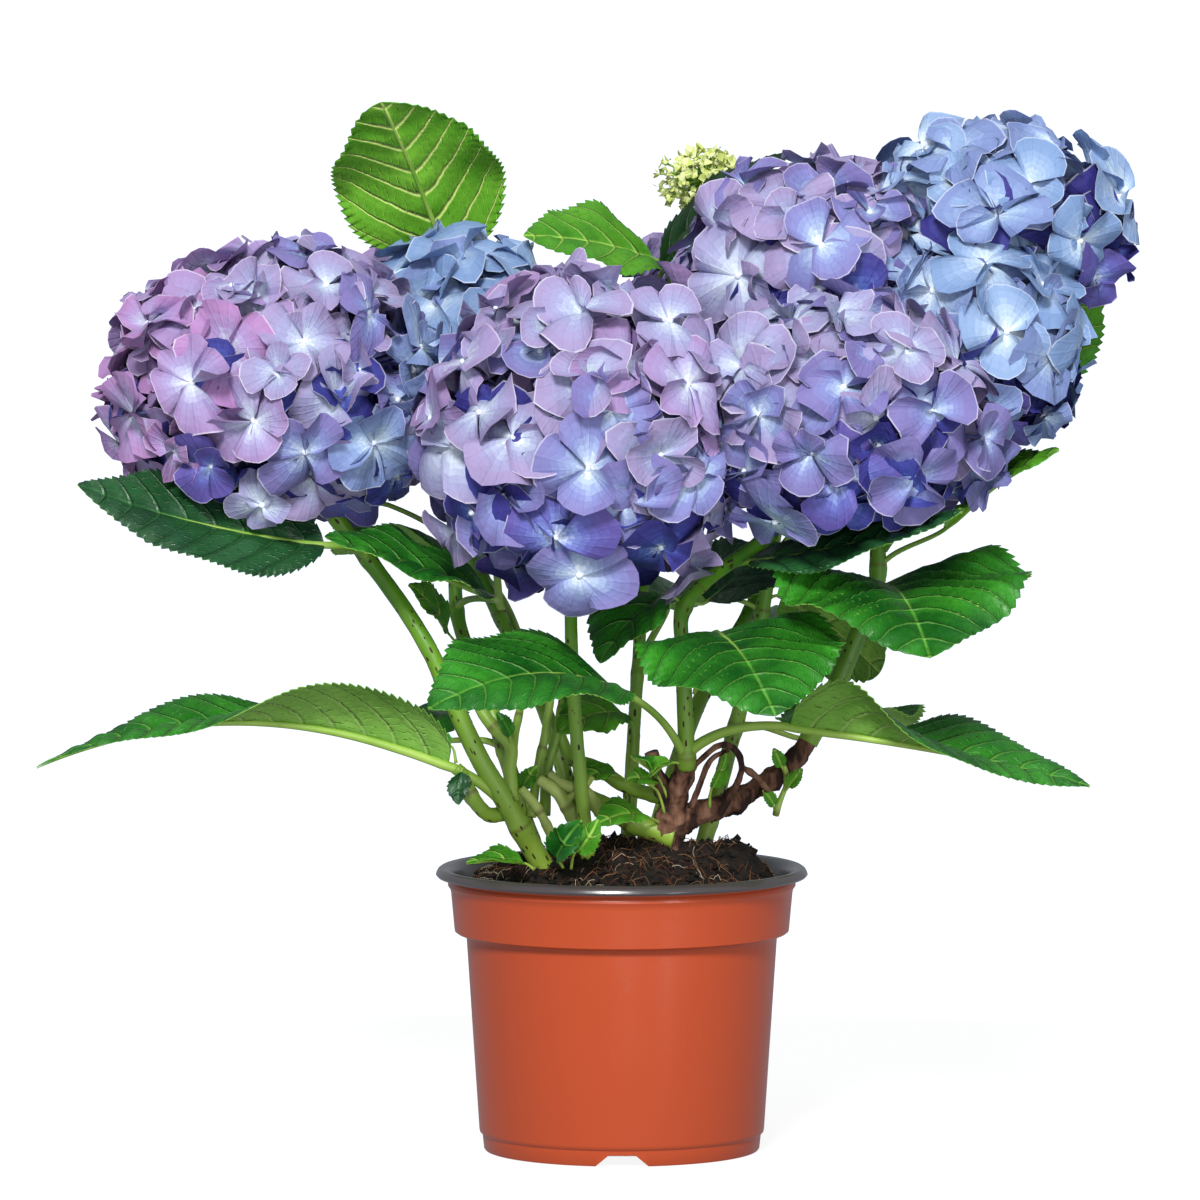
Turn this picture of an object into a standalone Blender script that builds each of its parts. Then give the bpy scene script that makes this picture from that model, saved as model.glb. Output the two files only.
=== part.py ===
"""A potted mophead hydrangea: plastic pot, compost, old wood, green canes, leaves and flower heads.

Blender works in metres with +Z up. The origin is the middle of the pot's flat underside, and -Y is the
front. The tables are in millimetres, and point() turns them into metres.
"""

import math
import random

import bmesh
import bpy
from mathutils import Matrix, Vector
from mathutils.bvhtree import BVHTree

MM = 0.001
GAP = 0.3  # running gap between pieces that touch
SEED = 14
UP = Vector((0, 0, 1))

# Pot: outer radii and heights
POT_STEPS = 40
POT_HEIGHT = 107.0
LIP_RADIUS = 70.0
LIP_UNDER = 103.5
COLLAR_TOP = 64.5
COLLAR_BOTTOM = 63.0
COLLAR_HEIGHT = 82.4
BODY_TOP = 58.5
BODY_BOTTOM = 53.6
FOOT_RADIUS = 52.4
FOOT_HEIGHT = 6.4
FLOOR = 6.6
WALL = 1.5
CHANNEL_COUNT = 3
CHANNEL_FOOT = 20.0
CHANNEL_ROOF = 10.0
CHANNEL_HEIGHT = 4.4
CHANNEL_START = 22.0
DRAIN_RADIUS = 4.0
DRAIN_AT = 36.0

# Compost: a skirt just under the lip and two low mounds
SOIL_SKIRT = 97.0
SOIL_MOUNDS = ((5.0, 0.0, 30.0, 20.0), (49.0, 8.0, 13.0, 14.0))  # x, y, spread, height
SOIL_RINGS = (12.0, 24.0, 36.0, 47.0)
SOIL_SPOKES = 20
SOIL_DEPTH_OF_FOOT = 8.0

# Limbs: what each stands on, via points from foot to tip, radius at the foot and at the tip.
# On the compost the foot is x and y alone, and on another limb it is a place inside that limb.
LIMBS = {
    "old_stump": ("soil", ((15, 2), (19, -4, 128), (24, -11, 146)), 8.5, 5.0),
    "old_stub": ("old_stump", ((19, -4, 130), (14, -7, 140), (11, -9, 151)), 4.0, 3.0),
    "old_branch": ("old_stump", ((20, -2, 124), (46, 6, 133), (62, 8, 144), (71, 10, 154)), 6.2, 4.2),
    "cane_left": (
        "soil",
        ((-25, -10), (-42, -21, 131), (-55, -26, 154), (-72, -24, 191), (-88, -16, 215), (-112, -11, 246)),
        4.6, 3.0,
    ),
    "cane_left_inner": (
        "soil",
        ((-29, 8), (-41, 0, 140), (-50, 8, 168), (-62, 22, 200), (-62, 38, 234), (-60, 50, 266)),
        3.4, 2.5,
    ),
    "cane_front": (
        "soil",
        ((-12, -15), (-16, -23, 148), (-18, -28, 174), (-19, -36, 200), (-19, -52, 225)),
        2.9, 2.4,
    ),
    "cane_middle": (
        "old_stump",
        ((24, -11, 145), (24, -14, 160), (23, -17, 187), (25, -20, 210), (56, -40, 236)),
        3.3, 2.6,
    ),
    "cane_right": (
        "old_branch",
        (
            (70, 10, 153), (77, 12, 166), (86, 14, 186), (96, 16, 212),
            (98, 20, 234), (114, 36, 270), (132, 32, 314),
        ),
        4.0, 2.6,
    ),
    "cane_right_front": (
        "cane_right",
        ((98, 18, 226), (110, 8, 246), (126, -2, 261), (133, -4, 270)),
        2.7, 2.3,
    ),
    "cane_back": ("soil", ((28, 22), (44, 34, 160), (54, 38, 204), (60, 32, 250), (67, 16, 298)), 3.4, 2.5),
    "cane_back_left": ("soil", ((-12, 30), (-28, 52, 158), (-52, 84, 206), (-70, 106, 252)), 3.6, 2.6),
    "cane_back_right": ("soil", ((8, 34), (28, 58, 160), (56, 84, 212), (61, 98, 264)), 3.6, 2.6),
    "cane_bud": ("soil", ((2, 20), (5, 38, 160), (10, 54, 226), (20, 68, 290), (29, 74, 344)), 2.8, 2.0),
}
OLD_WOOD = ("old_stump", "old_stub", "old_branch")
LIMB_SIDES = 8
LIMB_POINTS = 8

# Flower heads: limb that carries each, middle, half-sizes, petals
HEADS = {
    "bloom_left": ("cane_left", (-130, -10, 287), (66, 58, 54), "petal_mauve"),
    "bloom_left_behind": ("cane_left_inner", (-60, 50, 299), (47, 44, 42), "petal_blue"),
    "bloom_front": ("cane_front", (-15, -55, 271), (60, 54, 65), "petal_lilac"),
    "bloom_middle_back": ("cane_back", (76, 8, 328), (57, 48, 43), "petal_lilac"),
    "bloom_middle_front": ("cane_middle", (81, -46, 277), (60, 50, 46), "petal_lilac"),
    "bloom_right_top": ("cane_right", (139, 20, 349), (52, 45, 36), "petal_blue"),
    "bloom_right_low": ("cane_right_front", (131, -6, 302), (42, 42, 41), "petal_blue"),
    "bloom_back_left": ("cane_back_left", (-74, 123, 288), (58, 46, 46), "petal_mauve"),
    "bloom_back_right": ("cane_back_right", (62, 106, 302), (60, 48, 48), "petal_lilac"),
}
CORE_SHARE = 0.68
FLORET_WIDTH = 38.0
FLORET_SPREAD = 0.08
FLORET_SPACING = 40.5
FLORET_AT = 0.97  # share of the head's radius at which a floret's face lies
FLORET_DISH = 0.06
FLORET_NECK = 0.33  # depth of a floret's base under its face, as a share of the head's radius there
LOWEST_FLORET = -0.62  # cosine from straight up below which a head is bare round its stem
CORE_MARGIN = 2.0
FLORET_MARGINS = (0.4, 1.6)  # least and most room left before a neighbour's wall
FLORET_LEAN = 0.22
FLORET_LOBES = 4
# turn, reach and lift of the corners of one lobe: two at its tip and the notch beside it
LOBE_CORNERS = ((-24, 0.5, 0.02), (24, 0.5, 0.05), (45, 0.36, -0.03))
MOST_PRESSED = 7  # corners of a floret that a neighbour's wall may push back
STEM_SHARE = 0.9  # radius of a head's stem, as a share of its cane's tip
STEM_STRAIGHT = 4.0
FLORET_SHRINKS = (1.0, 0.8, 0.62)

# The young head: a few tight green buds
BUD_MIDDLE = (32, 75, 362)
BUD_SIZES = (18, 15, 12)
BUD_COUNT = 9
BUD_RADIUS = 5.5
BUD_CORE_SHARE = 0.9
BUD_STEM_STRAIGHT = 3.0

# Leaves: limb, share of the way up it, base and tip of the blade, width, way the upper side faces,
# fold of its two halves in degrees, rise of the midrib, and turn from base to tip in degrees
LEAVES = {
    "leaf_tall_left": ("cane_back_left", 0.62, (-66, 86, 330), (-91, 44, 393), 65, (0, 0.8, 0.58), 6, 5, 0),
    "leaf_bright_top": ("cane_bud", 0.84, (12, 62, 333), (-37, 33, 343), 46, (0, -0.55, 0.83), 10, 3, 0),
    "leaf_dark_top": ("cane_bud", 0.8, (15, 54, 328), (65, 38, 374), 27, (-0.65, -0.35, 0.65), 12, 8, 0),
    "leaf_far_left": ("cane_left", 0.84, (-111, -31, 231), (-201, -66, 256), 47, (0, -0.7, 0.75), 10, -4, 0),
    "leaf_left_front": (
        "cane_left_inner", 0.62, (-50, -18, 211), (-110, -58, 236),
        44, (0, -0.4, 0.9), 12, 2, 0,
    ),
    "leaf_front_left": ("cane_middle", 0.03, (-4, -53, 180), (-71, -112, 177), 64, (0, -0.45, 0.9), 8, 10, 0),
    "leaf_long_left": (
        "cane_left", 0.16, (-65, -28, 148), (-218, -58, 150),
        60, (0, 0.485, 0.875), 21, 19, -40,
    ),
    "leaf_front_middle": (
        "cane_middle", 0.34, (36, -30, 198), (56, -106, 174),
        78, (-0.05, -0.3, 0.95), 8, 6, 0,
    ),
    "leaf_right": ("cane_right", 0.34, (98, -5, 214), (113, -90, 194), 98, (0, -0.22, 0.97), 13, 8, 0),
    "leaf_long_right": (
        "cane_middle", 0.05, (63, -22, 162), (174, -45, 142),
        60, (0, 0.485, 0.875), 21, 3, 46,
    ),
    "leaf_under_middle": (
        "cane_middle", 0.66, (48, -32, 225), (125, -76, 247),
        38, (0, -0.42, 0.9), 8, -2, 0,
    ),
    "leaf_inner_back": ("cane_back", 0.5, (38, 40, 208), (30, 94, 222), 32, (0, -0.2, 0.98), 10, 4, 0),
    "leaf_inner_left": (
        "cane_middle", 0.56, (16, -24, 211), (-8, -46, 188),
        40, (-0.5, -0.45, 0.74), 12, 4, 0,
    ),
    "leaf_inner_right": ("cane_middle", 0.56, (32, -8, 208), (64, 34, 226), 36, (0.1, -0.5, 0.86), 12, 3, 0),
    "leaf_pale_right": ("cane_back", 0.42, (61, 47, 205), (98, 38, 177), 44, (0.1, 0.85, 0.52), 8, 5, 0),
    "leaf_far_right": ("cane_right", 0.7, (142, 46, 284), (182, 58, 332), 44, (0.55, -0.5, 0.66), 10, 4, 0),
    "leaf_right_upper": (
        "cane_right", 0.4, (124, 8, 236), (163, -24, 266),
        40, (-0.35, -0.2, 0.9), 10, 3, 0,
    ),
    "leaf_small_left": (
        "cane_left_inner", 0.5, (-66, 8, 196), (-80, -6, 214),
        20, (0, -0.6, 0.8), 14, 2, 0,
    ),
    "leaf_inner_low": ("cane_bud", 0.12, (0, 12, 164), (-24, -6, 158), 28, (0, -0.5, 0.85), 10, 4, 0),
    "leaf_basal_front": ("old_stump", 0.3, (8, -16, 128), (-10, -34, 126), 16, (0, -0.6, 0.8), 14, 3, 0),
    "leaf_basal_arch": ("cane_bud", 0.06, (-2, 0, 142), (-16, -8, 139), 14, (0, -0.4, 0.9), 14, 3, 0),
    "leaf_back_left_low": (
        "cane_back_left", 0.46, (-56, 104, 211), (-112, 164, 212),
        64, (0, 0.3, 0.95), 10, 8, 0,
    ),
    "leaf_back_right_low": (
        "cane_back_right", 0.42, (58, 104, 186), (112, 168, 178),
        66, (0, 0.3, 0.95), 10, 10, 0,
    ),
    "leaf_back_middle": ("cane_bud", 0.3, (18, 74, 200), (24, 158, 190), 68, (0, 0.3, 0.95), 12, 10, 0),
    "leaf_back_left_high": (
        "cane_back_left", 0.72, (-92, 112, 236), (-160, 124, 244),
        54, (0, 0.3, 0.95), 12, 4, 0,
    ),
    "leaf_back_right_high": (
        "cane_back_right", 0.62, (78, 110, 234), (138, 150, 246),
        56, (0, 0.3, 0.95), 12, 4, 0,
    ),
    "leaf_side_right": ("cane_back", 0.28, (72, 42, 152), (110, 104, 150), 54, (0, 0.1, 0.99), 10, 6, 0),
    "leaf_side_left": ("cane_left_inner", 0.3, (-72, 24, 154), (-106, 90, 152), 52, (0, 0.1, 0.99), 10, 6, 0),
}
BLADE_STATIONS = (0.09, 0.32, 0.6, 0.85, 0.985)
TURN_SPAN = (0.1, 0.7)  # shares of the length between which a leaf turns
BLADE_BULGE = 0.55
BLADE_TAPER = 0.85
BLADE_THICK_SHARE = 1 / 85
BLADE_THICK_LEAST = 1.0
PETIOLE_RADIUS = 1.7
PETIOLE_SWELL = 1.15  # share of that radius at the limb
PETIOLE_WAIST = 0.8  # share of it at the blade
PETIOLE_STEPS = 3
PETIOLE_EASE = 0.35  # share of the reach over which a petiole leaves the limb and meets the blade
PETIOLE_OUTWARD = 0.6  # the rest of its first direction is straight up

# Colour, roughness
MATERIALS = {
    "pot_terracotta": ((0.50, 0.08, 0.028), 0.35),
    "compost": ((0.022, 0.012, 0.008), 0.95),
    "old_wood": ((0.16, 0.075, 0.035), 0.85),
    "green_cane": ((0.16, 0.30, 0.055), 0.55),
    "leaf_green": ((0.045, 0.17, 0.022), 0.5),
    "petal_lilac": ((0.30, 0.24, 0.58), 0.6),
    "petal_mauve": ((0.38, 0.20, 0.50), 0.6),
    "petal_blue": ((0.17, 0.24, 0.62), 0.6),
    "bud_green": ((0.45, 0.52, 0.16), 0.6),
}


def point(millimetres):
    return Vector(millimetres) * MM


def clear_scene():
    for obj in list(bpy.data.objects):
        bpy.data.objects.remove(obj)


def collection(name):
    made = bpy.data.collections.new(name)
    bpy.context.scene.collection.children.link(made)
    return made


def material(name):
    if name in bpy.data.materials:
        return bpy.data.materials[name]
    colour, roughness = MATERIALS[name]
    made = bpy.data.materials.new(name)
    made.use_nodes = True
    shader = made.node_tree.nodes["Principled BSDF"]
    shader.inputs["Base Color"].default_value = (*colour, 1)
    shader.inputs["Roughness"].default_value = roughness
    made.diffuse_color = (*colour, 1)
    return made


def mesh_object(name, verts, faces, where, slot=None):
    mesh = bpy.data.meshes.new(name)
    mesh.from_pydata(verts, [], faces)
    obj = bpy.data.objects.new(name, mesh)
    where.objects.link(obj)
    if slot:
        mesh.materials.append(material(slot))
    return obj


def hide(obj):
    obj.hide_render = True
    obj.display_type = "WIRE"


def evaluated_mesh(obj):
    graph = bpy.context.evaluated_depsgraph_get()
    return bpy.data.meshes.new_from_object(obj.evaluated_get(graph))


def apply_modifiers(obj):
    mesh = evaluated_mesh(obj)
    obj.modifiers.clear()
    obj.data = mesh


def boolean(obj, operation, other=None, group=None, solver="EXACT"):
    """Apply one Boolean of obj with an object or with a collection."""
    modifier = obj.modifiers.new(operation, "BOOLEAN")
    modifier.operation = operation
    modifier.solver = solver
    if group:
        modifier.operand_type = "COLLECTION"
        modifier.collection = group
    else:
        modifier.object = other
    apply_modifiers(obj)


def keep_largest_body(obj):
    """Drop loose scraps and the walls of sealed hollows, which both are smaller shells."""
    made = bmesh.new()
    made.from_mesh(obj.data)
    bmesh.ops.remove_doubles(made, verts=made.verts, dist=1e-7)
    unseen = set(made.verts)
    shells = []
    while unseen:
        front = [unseen.pop()]
        shell = list(front)
        while front:
            for edge in front.pop().link_edges:
                for vert in edge.verts:
                    if vert in unseen:
                        unseen.discard(vert)
                        front.append(vert)
                        shell.append(vert)
        shells.append(shell)
    shells.sort(key=len)
    for shell in shells[:-1]:
        bmesh.ops.delete(made, geom=shell, context="VERTS")
    made.to_mesh(obj.data)
    made.free()


def tree_of(obj):
    """Search tree of an object's triangles."""
    made = bmesh.new()
    made.from_mesh(obj.data)
    tree = BVHTree.FromBMesh(made)
    made.free()
    return tree


def soil_height(x, y):
    """Height of the compost in millimetres. The mounds die away at the wall."""
    reach = COLLAR_BOTTOM - WALL
    fade = max(0.0, 1 - (math.hypot(x, y) / reach) ** 6)
    rise = 0.0
    for mid_x, mid_y, spread, height in SOIL_MOUNDS:
        rise += height * math.exp(-((x - mid_x) ** 2 + (y - mid_y) ** 2) / (2 * spread**2))
    return SOIL_SKIRT + rise * fade


def smooth_path(via, count):
    """Points spaced evenly along a smooth curve through the via points."""
    ends = [2 * via[0] - via[1], *via, 2 * via[-1] - via[-2]]
    dense = []
    for before, start, end, after in zip(ends, ends[1:], ends[2:], ends[3:]):
        for step in range(12):
            t = step / 12
            bend = (2 * before - 5 * start + 4 * end - after) * t**2
            swing = (3 * start - before - 3 * end + after) * t**3
            dense.append((2 * start + (end - before) * t + bend + swing) / 2)
    dense.append(via[-1])
    lengths = [0.0]
    for first, second in zip(dense, dense[1:]):
        lengths.append(lengths[-1] + (second - first).length)
    path = []
    step = 0
    for index in range(count):
        wanted = lengths[-1] * index / (count - 1)
        while step < len(dense) - 2 and lengths[step + 1] < wanted:
            step += 1
        share = (wanted - lengths[step]) / (lengths[step + 1] - lengths[step])
        path.append(dense[step].lerp(dense[step + 1], share))
    return path


def tube(name, path, radii, where, slot=None, sides=LIMB_SIDES):
    """A round tapering limb: a bevelled curve made into a closed mesh."""
    curve = bpy.data.curves.new(name, "CURVE")
    curve.dimensions = "3D"
    curve.bevel_depth = 1.0
    curve.bevel_resolution = sides // 2 - 2
    curve.use_fill_caps = True
    spline = curve.splines.new("POLY")
    spline.points.add(len(path) - 1)
    for knot, place, radius in zip(spline.points, path, radii):
        knot.co = (*place, 1)
        knot.radius = radius
    guide = bpy.data.objects.new(name + "_guide", curve)
    where.objects.link(guide)
    mesh = evaluated_mesh(guide)
    bpy.data.objects.remove(guide)
    bpy.data.curves.remove(curve)
    welded = bmesh.new()
    welded.from_mesh(mesh)
    bmesh.ops.remove_doubles(welded, verts=welded.verts, dist=1e-6)
    bmesh.ops.recalc_face_normals(welded, faces=welded.faces)
    welded.to_mesh(mesh)
    welded.free()
    mesh.materials.clear()
    obj = bpy.data.objects.new(name, mesh)
    where.objects.link(obj)
    if slot:
        mesh.materials.append(material(slot))
        mesh.shade_smooth()
        mesh.set_sharp_from_angle(angle=math.radians(50))
    return obj


def pot_profile():
    """Half section from the inner floor, up the inside, over the lip and down to the underside."""
    return (
        (0, FLOOR),
        (BODY_BOTTOM - WALL, FLOOR),
        (BODY_TOP - WALL, COLLAR_HEIGHT + 1),
        (COLLAR_BOTTOM - WALL, COLLAR_HEIGHT + 3),
        (COLLAR_TOP - WALL, POT_HEIGHT - 2.2),
        (COLLAR_TOP + 0.6, POT_HEIGHT - 0.4),
        (LIP_RADIUS - 2, POT_HEIGHT),
        (LIP_RADIUS, POT_HEIGHT - 1.4),
        (LIP_RADIUS - 0.6, LIP_UNDER),
        (COLLAR_TOP + 1.2, LIP_UNDER - 0.4),
        (COLLAR_TOP, LIP_UNDER - 1.5),
        (COLLAR_BOTTOM, COLLAR_HEIGHT),
        (BODY_TOP, COLLAR_HEIGHT - 1.2),
        (BODY_BOTTOM, FOOT_HEIGHT + 0.6),
        (FOOT_RADIUS, FOOT_HEIGHT),
        (FOOT_RADIUS - 0.6, 0),
        (0, 0),
    )


def channel_cutter(angle, where):
    """Wedge-topped bar that cuts one drain channel through the foot."""
    half = [(-CHANNEL_FOOT / 2, -1), (CHANNEL_FOOT / 2, -1), (CHANNEL_ROOF / 2, CHANNEL_HEIGHT)]
    section = [*half, (-CHANNEL_ROOF / 2, CHANNEL_HEIGHT)]
    turn = Matrix.Rotation(angle, 3, "Z")
    verts = []
    for along in (CHANNEL_START, LIP_RADIUS):
        verts += [turn @ point((across, -along, up)) for across, up in section]
    faces = [(0, 3, 2, 1), (4, 5, 6, 7)]
    faces += [(side, (side + 1) % 4, (side + 1) % 4 + 4, side + 4) for side in range(4)]
    cutter = mesh_object("channel_cutter", verts, faces, where)
    made = bmesh.new()
    made.from_mesh(cutter.data)
    bmesh.ops.recalc_face_normals(made, faces=made.faces)
    made.to_mesh(cutter.data)
    made.free()
    hide(cutter)


def drain_cutter(angle, where):
    """Cylinder that cuts one drain hole through the channel's roof."""
    made = bmesh.new()
    place = Matrix.Rotation(angle, 4, "Z") @ Matrix.Translation(point((0, -DRAIN_AT, FLOOR)))
    size = {"radius1": DRAIN_RADIUS * MM, "radius2": DRAIN_RADIUS * MM, "depth": FLOOR * MM}
    bmesh.ops.create_cone(made, cap_ends=True, segments=8, matrix=place, **size)
    mesh = bpy.data.meshes.new("drain_cutter")
    made.to_mesh(mesh)
    made.free()
    cutter = bpy.data.objects.new("drain_cutter", mesh)
    where.objects.link(cutter)
    hide(cutter)


def build_pot(plant, cutters):
    profile = [point((radius, 0, height)) for radius, height in pot_profile()]
    edges = [(step, step + 1) for step in range(len(profile) - 1)]
    mesh = bpy.data.meshes.new("pot")
    mesh.from_pydata(profile, edges, [])
    pot = bpy.data.objects.new("pot", mesh)
    plant.objects.link(pot)
    mesh.materials.append(material("pot_terracotta"))
    turned = pot.modifiers.new("turned", "SCREW")
    turned.steps = POT_STEPS
    turned.render_steps = POT_STEPS
    turned.use_merge_vertices = True
    turned.merge_threshold = 1e-5
    for step in range(CHANNEL_COUNT):
        angle = step * math.tau / CHANNEL_COUNT
        channel_cutter(angle, cutters)
        drain_cutter(angle, cutters)
    drained = pot.modifiers.new("drained", "BOOLEAN")
    drained.operand_type = "COLLECTION"
    drained.collection = cutters
    apply_modifiers(pot)
    pot.data.shade_smooth()
    pot.data.set_sharp_from_angle(angle=math.radians(30))


def soil_verts(raised):
    """Rings of the compost from the underside to the top, each point in metres."""
    inner = WALL + GAP
    rings = [(BODY_BOTTOM - inner, FLOOR + GAP), (BODY_TOP - inner - 0.2, COLLAR_HEIGHT + 1.5)]
    rings += [(COLLAR_BOTTOM - inner - 0.3, COLLAR_HEIGHT + 3.9)]
    verts = []
    for radius, height in rings:
        verts.append([(radius, height)] * SOIL_SPOKES)
    for radius in (COLLAR_BOTTOM - inner, *reversed(SOIL_RINGS)):
        verts.append([(radius, None)] * SOIL_SPOKES)
    made = []
    for ring in verts:
        for spoke, (radius, height) in enumerate(ring):
            angle = spoke * math.tau / SOIL_SPOKES
            x, y = radius * math.cos(angle), radius * math.sin(angle)
            made.append(point((x, y, (soil_height(x, y) if height is None else height) + raised)))
    made.append(point((0, 0, soil_height(0, 0) + raised)))
    made.append(point((0, 0, FLOOR + GAP + raised)))
    return made, len(verts)


def build_soil(name, where, raised=0.0, slot=None):
    verts, rings = soil_verts(raised)
    faces = []
    for ring in range(rings - 1):
        for spoke in range(SOIL_SPOKES):
            after = (spoke + 1) % SOIL_SPOKES
            low, high = ring * SOIL_SPOKES, (ring + 1) * SOIL_SPOKES
            faces.append((low + spoke, low + after, high + after, high + spoke))
    top, bottom = len(verts) - 2, len(verts) - 1
    last = (rings - 1) * SOIL_SPOKES
    for spoke in range(SOIL_SPOKES):
        after = (spoke + 1) % SOIL_SPOKES
        faces.append((last + spoke, last + after, top))
        faces.append((after, spoke, bottom))
    return mesh_object(name, verts, faces, where, slot)


class Limb:
    """A built limb: its object, its middle line and its radius at each point."""

    def __init__(self, obj, path, radii):
        self.obj = obj
        self.path = path
        self.radii = radii

    def at(self, share):
        """Middle line, radius and direction at a share of the way up."""
        place = min(share * (len(self.path) - 1), len(self.path) - 1.001)
        step = int(place)
        rest = place - step
        middle = self.path[step].lerp(self.path[step + 1], rest)
        radius = self.radii[step] * (1 - rest) + self.radii[step + 1] * rest
        return middle, radius, (self.path[step + 1] - self.path[step]).normalized()

    def sleeve(self, where):
        """The limb grown by the gap all round and past its tip, to cut what stands on it."""
        heading = (self.path[-1] - self.path[-2]).normalized()
        path = [*self.path[:-1], self.path[-1] + heading * GAP * MM]
        grown = [radius + GAP * MM for radius in self.radii]
        return tube("sleeve", path, grown, where)


def via_points(stands_on, via):
    """The via points in metres. A foot in the compost starts below its surface, where it is then cut."""
    if stands_on == "soil":
        x, y = via[0]
        via = ((x, y, soil_height(x, y) - SOIL_DEPTH_OF_FOOT), *via[1:])
    return [point(place) for place in via]


def build_limb(name, limbs, raised_soil, plant, guides):
    stands_on, via, foot_radius, tip_radius = LIMBS[name]
    path = smooth_path(via_points(stands_on, via), LIMB_POINTS)
    shares = [step / (LIMB_POINTS - 1) for step in range(LIMB_POINTS)]
    radii = [(foot_radius + (tip_radius - foot_radius) * share) * MM for share in shares]
    slot = "old_wood" if name in OLD_WOOD else "green_cane"
    obj = tube(name, path, radii, plant, slot)
    if stands_on == "soil":
        boolean(obj, "DIFFERENCE", raised_soil)
    else:
        sleeve = limbs[stands_on].sleeve(guides)
        boolean(obj, "DIFFERENCE", sleeve)
        bpy.data.objects.remove(sleeve)
    keep_largest_body(obj)
    limbs[name] = Limb(obj, path, radii)


def bezier(start, first, second, end, t):
    flow = (1 - t) ** 3 * start + 3 * (1 - t) ** 2 * t * first
    return flow + 3 * (1 - t) * t**2 * second + t**3 * end


def blade_width(share):
    """Outline of a leaf: half-width at a share of its length, 1 at the widest."""
    widest = BLADE_BULGE / (BLADE_BULGE + BLADE_TAPER)
    most = widest**BLADE_BULGE * (1 - widest) ** BLADE_TAPER
    return share**BLADE_BULGE * (1 - share) ** BLADE_TAPER / most


def hexagon(middle, side, normal, half_width, half_thick, lift):
    """Six corners of a leaf's section, from its left edge's upper corner round."""
    edge = side * half_width + normal * lift
    far = -side * half_width + normal * lift
    thick = normal * half_thick
    return [middle + far + thick, middle + thick, middle + edge + thick] + [
        middle + edge - thick,
        middle - thick,
        middle + far - thick,
    ]


def round_hexagon(middle, side, normal, radius):
    corners = []
    for degrees in (150, 90, 30, -30, -90, -150):
        angle = math.radians(degrees)
        corners.append(middle + (side * math.cos(angle) + normal * math.sin(angle)) * radius)
    return corners


def frame_at(heading, facing):
    """Side and normal of a section whose upper side faces as near to facing as it can."""
    side = heading.cross(facing).normalized()
    return side, side.cross(heading).normalized()


def turned_by(t):
    """Share of a leaf's turn that it has made at a share of its length."""
    start, end = TURN_SPAN
    along = min(max((t - start) / (end - start), 0), 1)
    return along**2 * (3 - 2 * along)


def build_leaf(name, limbs, plant, guides):
    """One leaf: a petiole cut to its limb's round and a folded blade, in one loft of six-sided sections."""
    carrier, share, base, tip, width, faces_to, fold, rise, turn = LEAVES[name]
    base, tip, facing = point(base), point(tip), Vector(faces_to)
    middle, _, _ = limbs[carrier].at(share)
    along = tip - base
    length = along.length
    _, normal = frame_at(along.normalized(), facing)
    crown = (base + tip) / 2 + normal * 2 * rise * MM
    reach = (base - middle).length
    leaving = (base - middle).normalized() * PETIOLE_OUTWARD + UP * (1 - PETIOLE_OUTWARD)
    sections = []
    arriving = (crown - base).normalized()
    first = middle + leaving.normalized() * reach * PETIOLE_EASE
    second = base - arriving * reach * PETIOLE_EASE
    for step in range(PETIOLE_STEPS):
        t = step / PETIOLE_STEPS
        spot = bezier(middle, first, second, base, t)
        ahead = bezier(middle, first, second, base, t + 0.01)
        side, up = frame_at((ahead - spot).normalized(), facing)
        share_there = PETIOLE_SWELL + (PETIOLE_WAIST - PETIOLE_SWELL) * t
        sections.append(round_hexagon(spot, side, up, PETIOLE_RADIUS * MM * share_there))
    side, up = frame_at(arriving, facing)
    sections.append(round_hexagon(base, side, up, PETIOLE_RADIUS * MM * PETIOLE_WAIST))
    half_thick = max(length * BLADE_THICK_SHARE, BLADE_THICK_LEAST * MM) / 2
    for t in BLADE_STATIONS:
        spot = (1 - t) ** 2 * base + 2 * (1 - t) * t * crown + t**2 * tip
        heading = ((1 - t) * (crown - base) + t * (tip - crown)).normalized()
        turned = Matrix.Rotation(math.radians(turn) * turned_by(t), 3, heading) @ facing
        side, up = frame_at(heading, turned)
        half = width / 2 * MM * blade_width(t)
        angle = math.radians(fold)
        spread, lift = half * math.cos(angle), half * math.sin(angle)
        sections.append(hexagon(spot, side, up, spread, half_thick, lift))
    verts = [corner for section in sections for corner in section]
    quads = []
    for ring in range(len(sections) - 1):
        for corner in range(6):
            after = (corner + 1) % 6
            low, high = ring * 6, (ring + 1) * 6
            quads.append((low + corner, low + after, high + after, high + corner))
    last = (len(sections) - 1) * 6
    quads.append(tuple(reversed(range(6))))
    quads.append(tuple(range(last, last + 6)))
    leaf = mesh_object(name, verts, quads, plant, "leaf_green")
    made = bmesh.new()
    made.from_mesh(leaf.data)
    bmesh.ops.triangulate(made, faces=made.faces)
    bmesh.ops.recalc_face_normals(made, faces=made.faces)
    made.to_mesh(leaf.data)
    made.free()
    sleeve = limbs[carrier].sleeve(guides)
    boolean(leaf, "DIFFERENCE", sleeve)
    bpy.data.objects.remove(sleeve)
    keep_largest_body(leaf)
    return leaf


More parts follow.
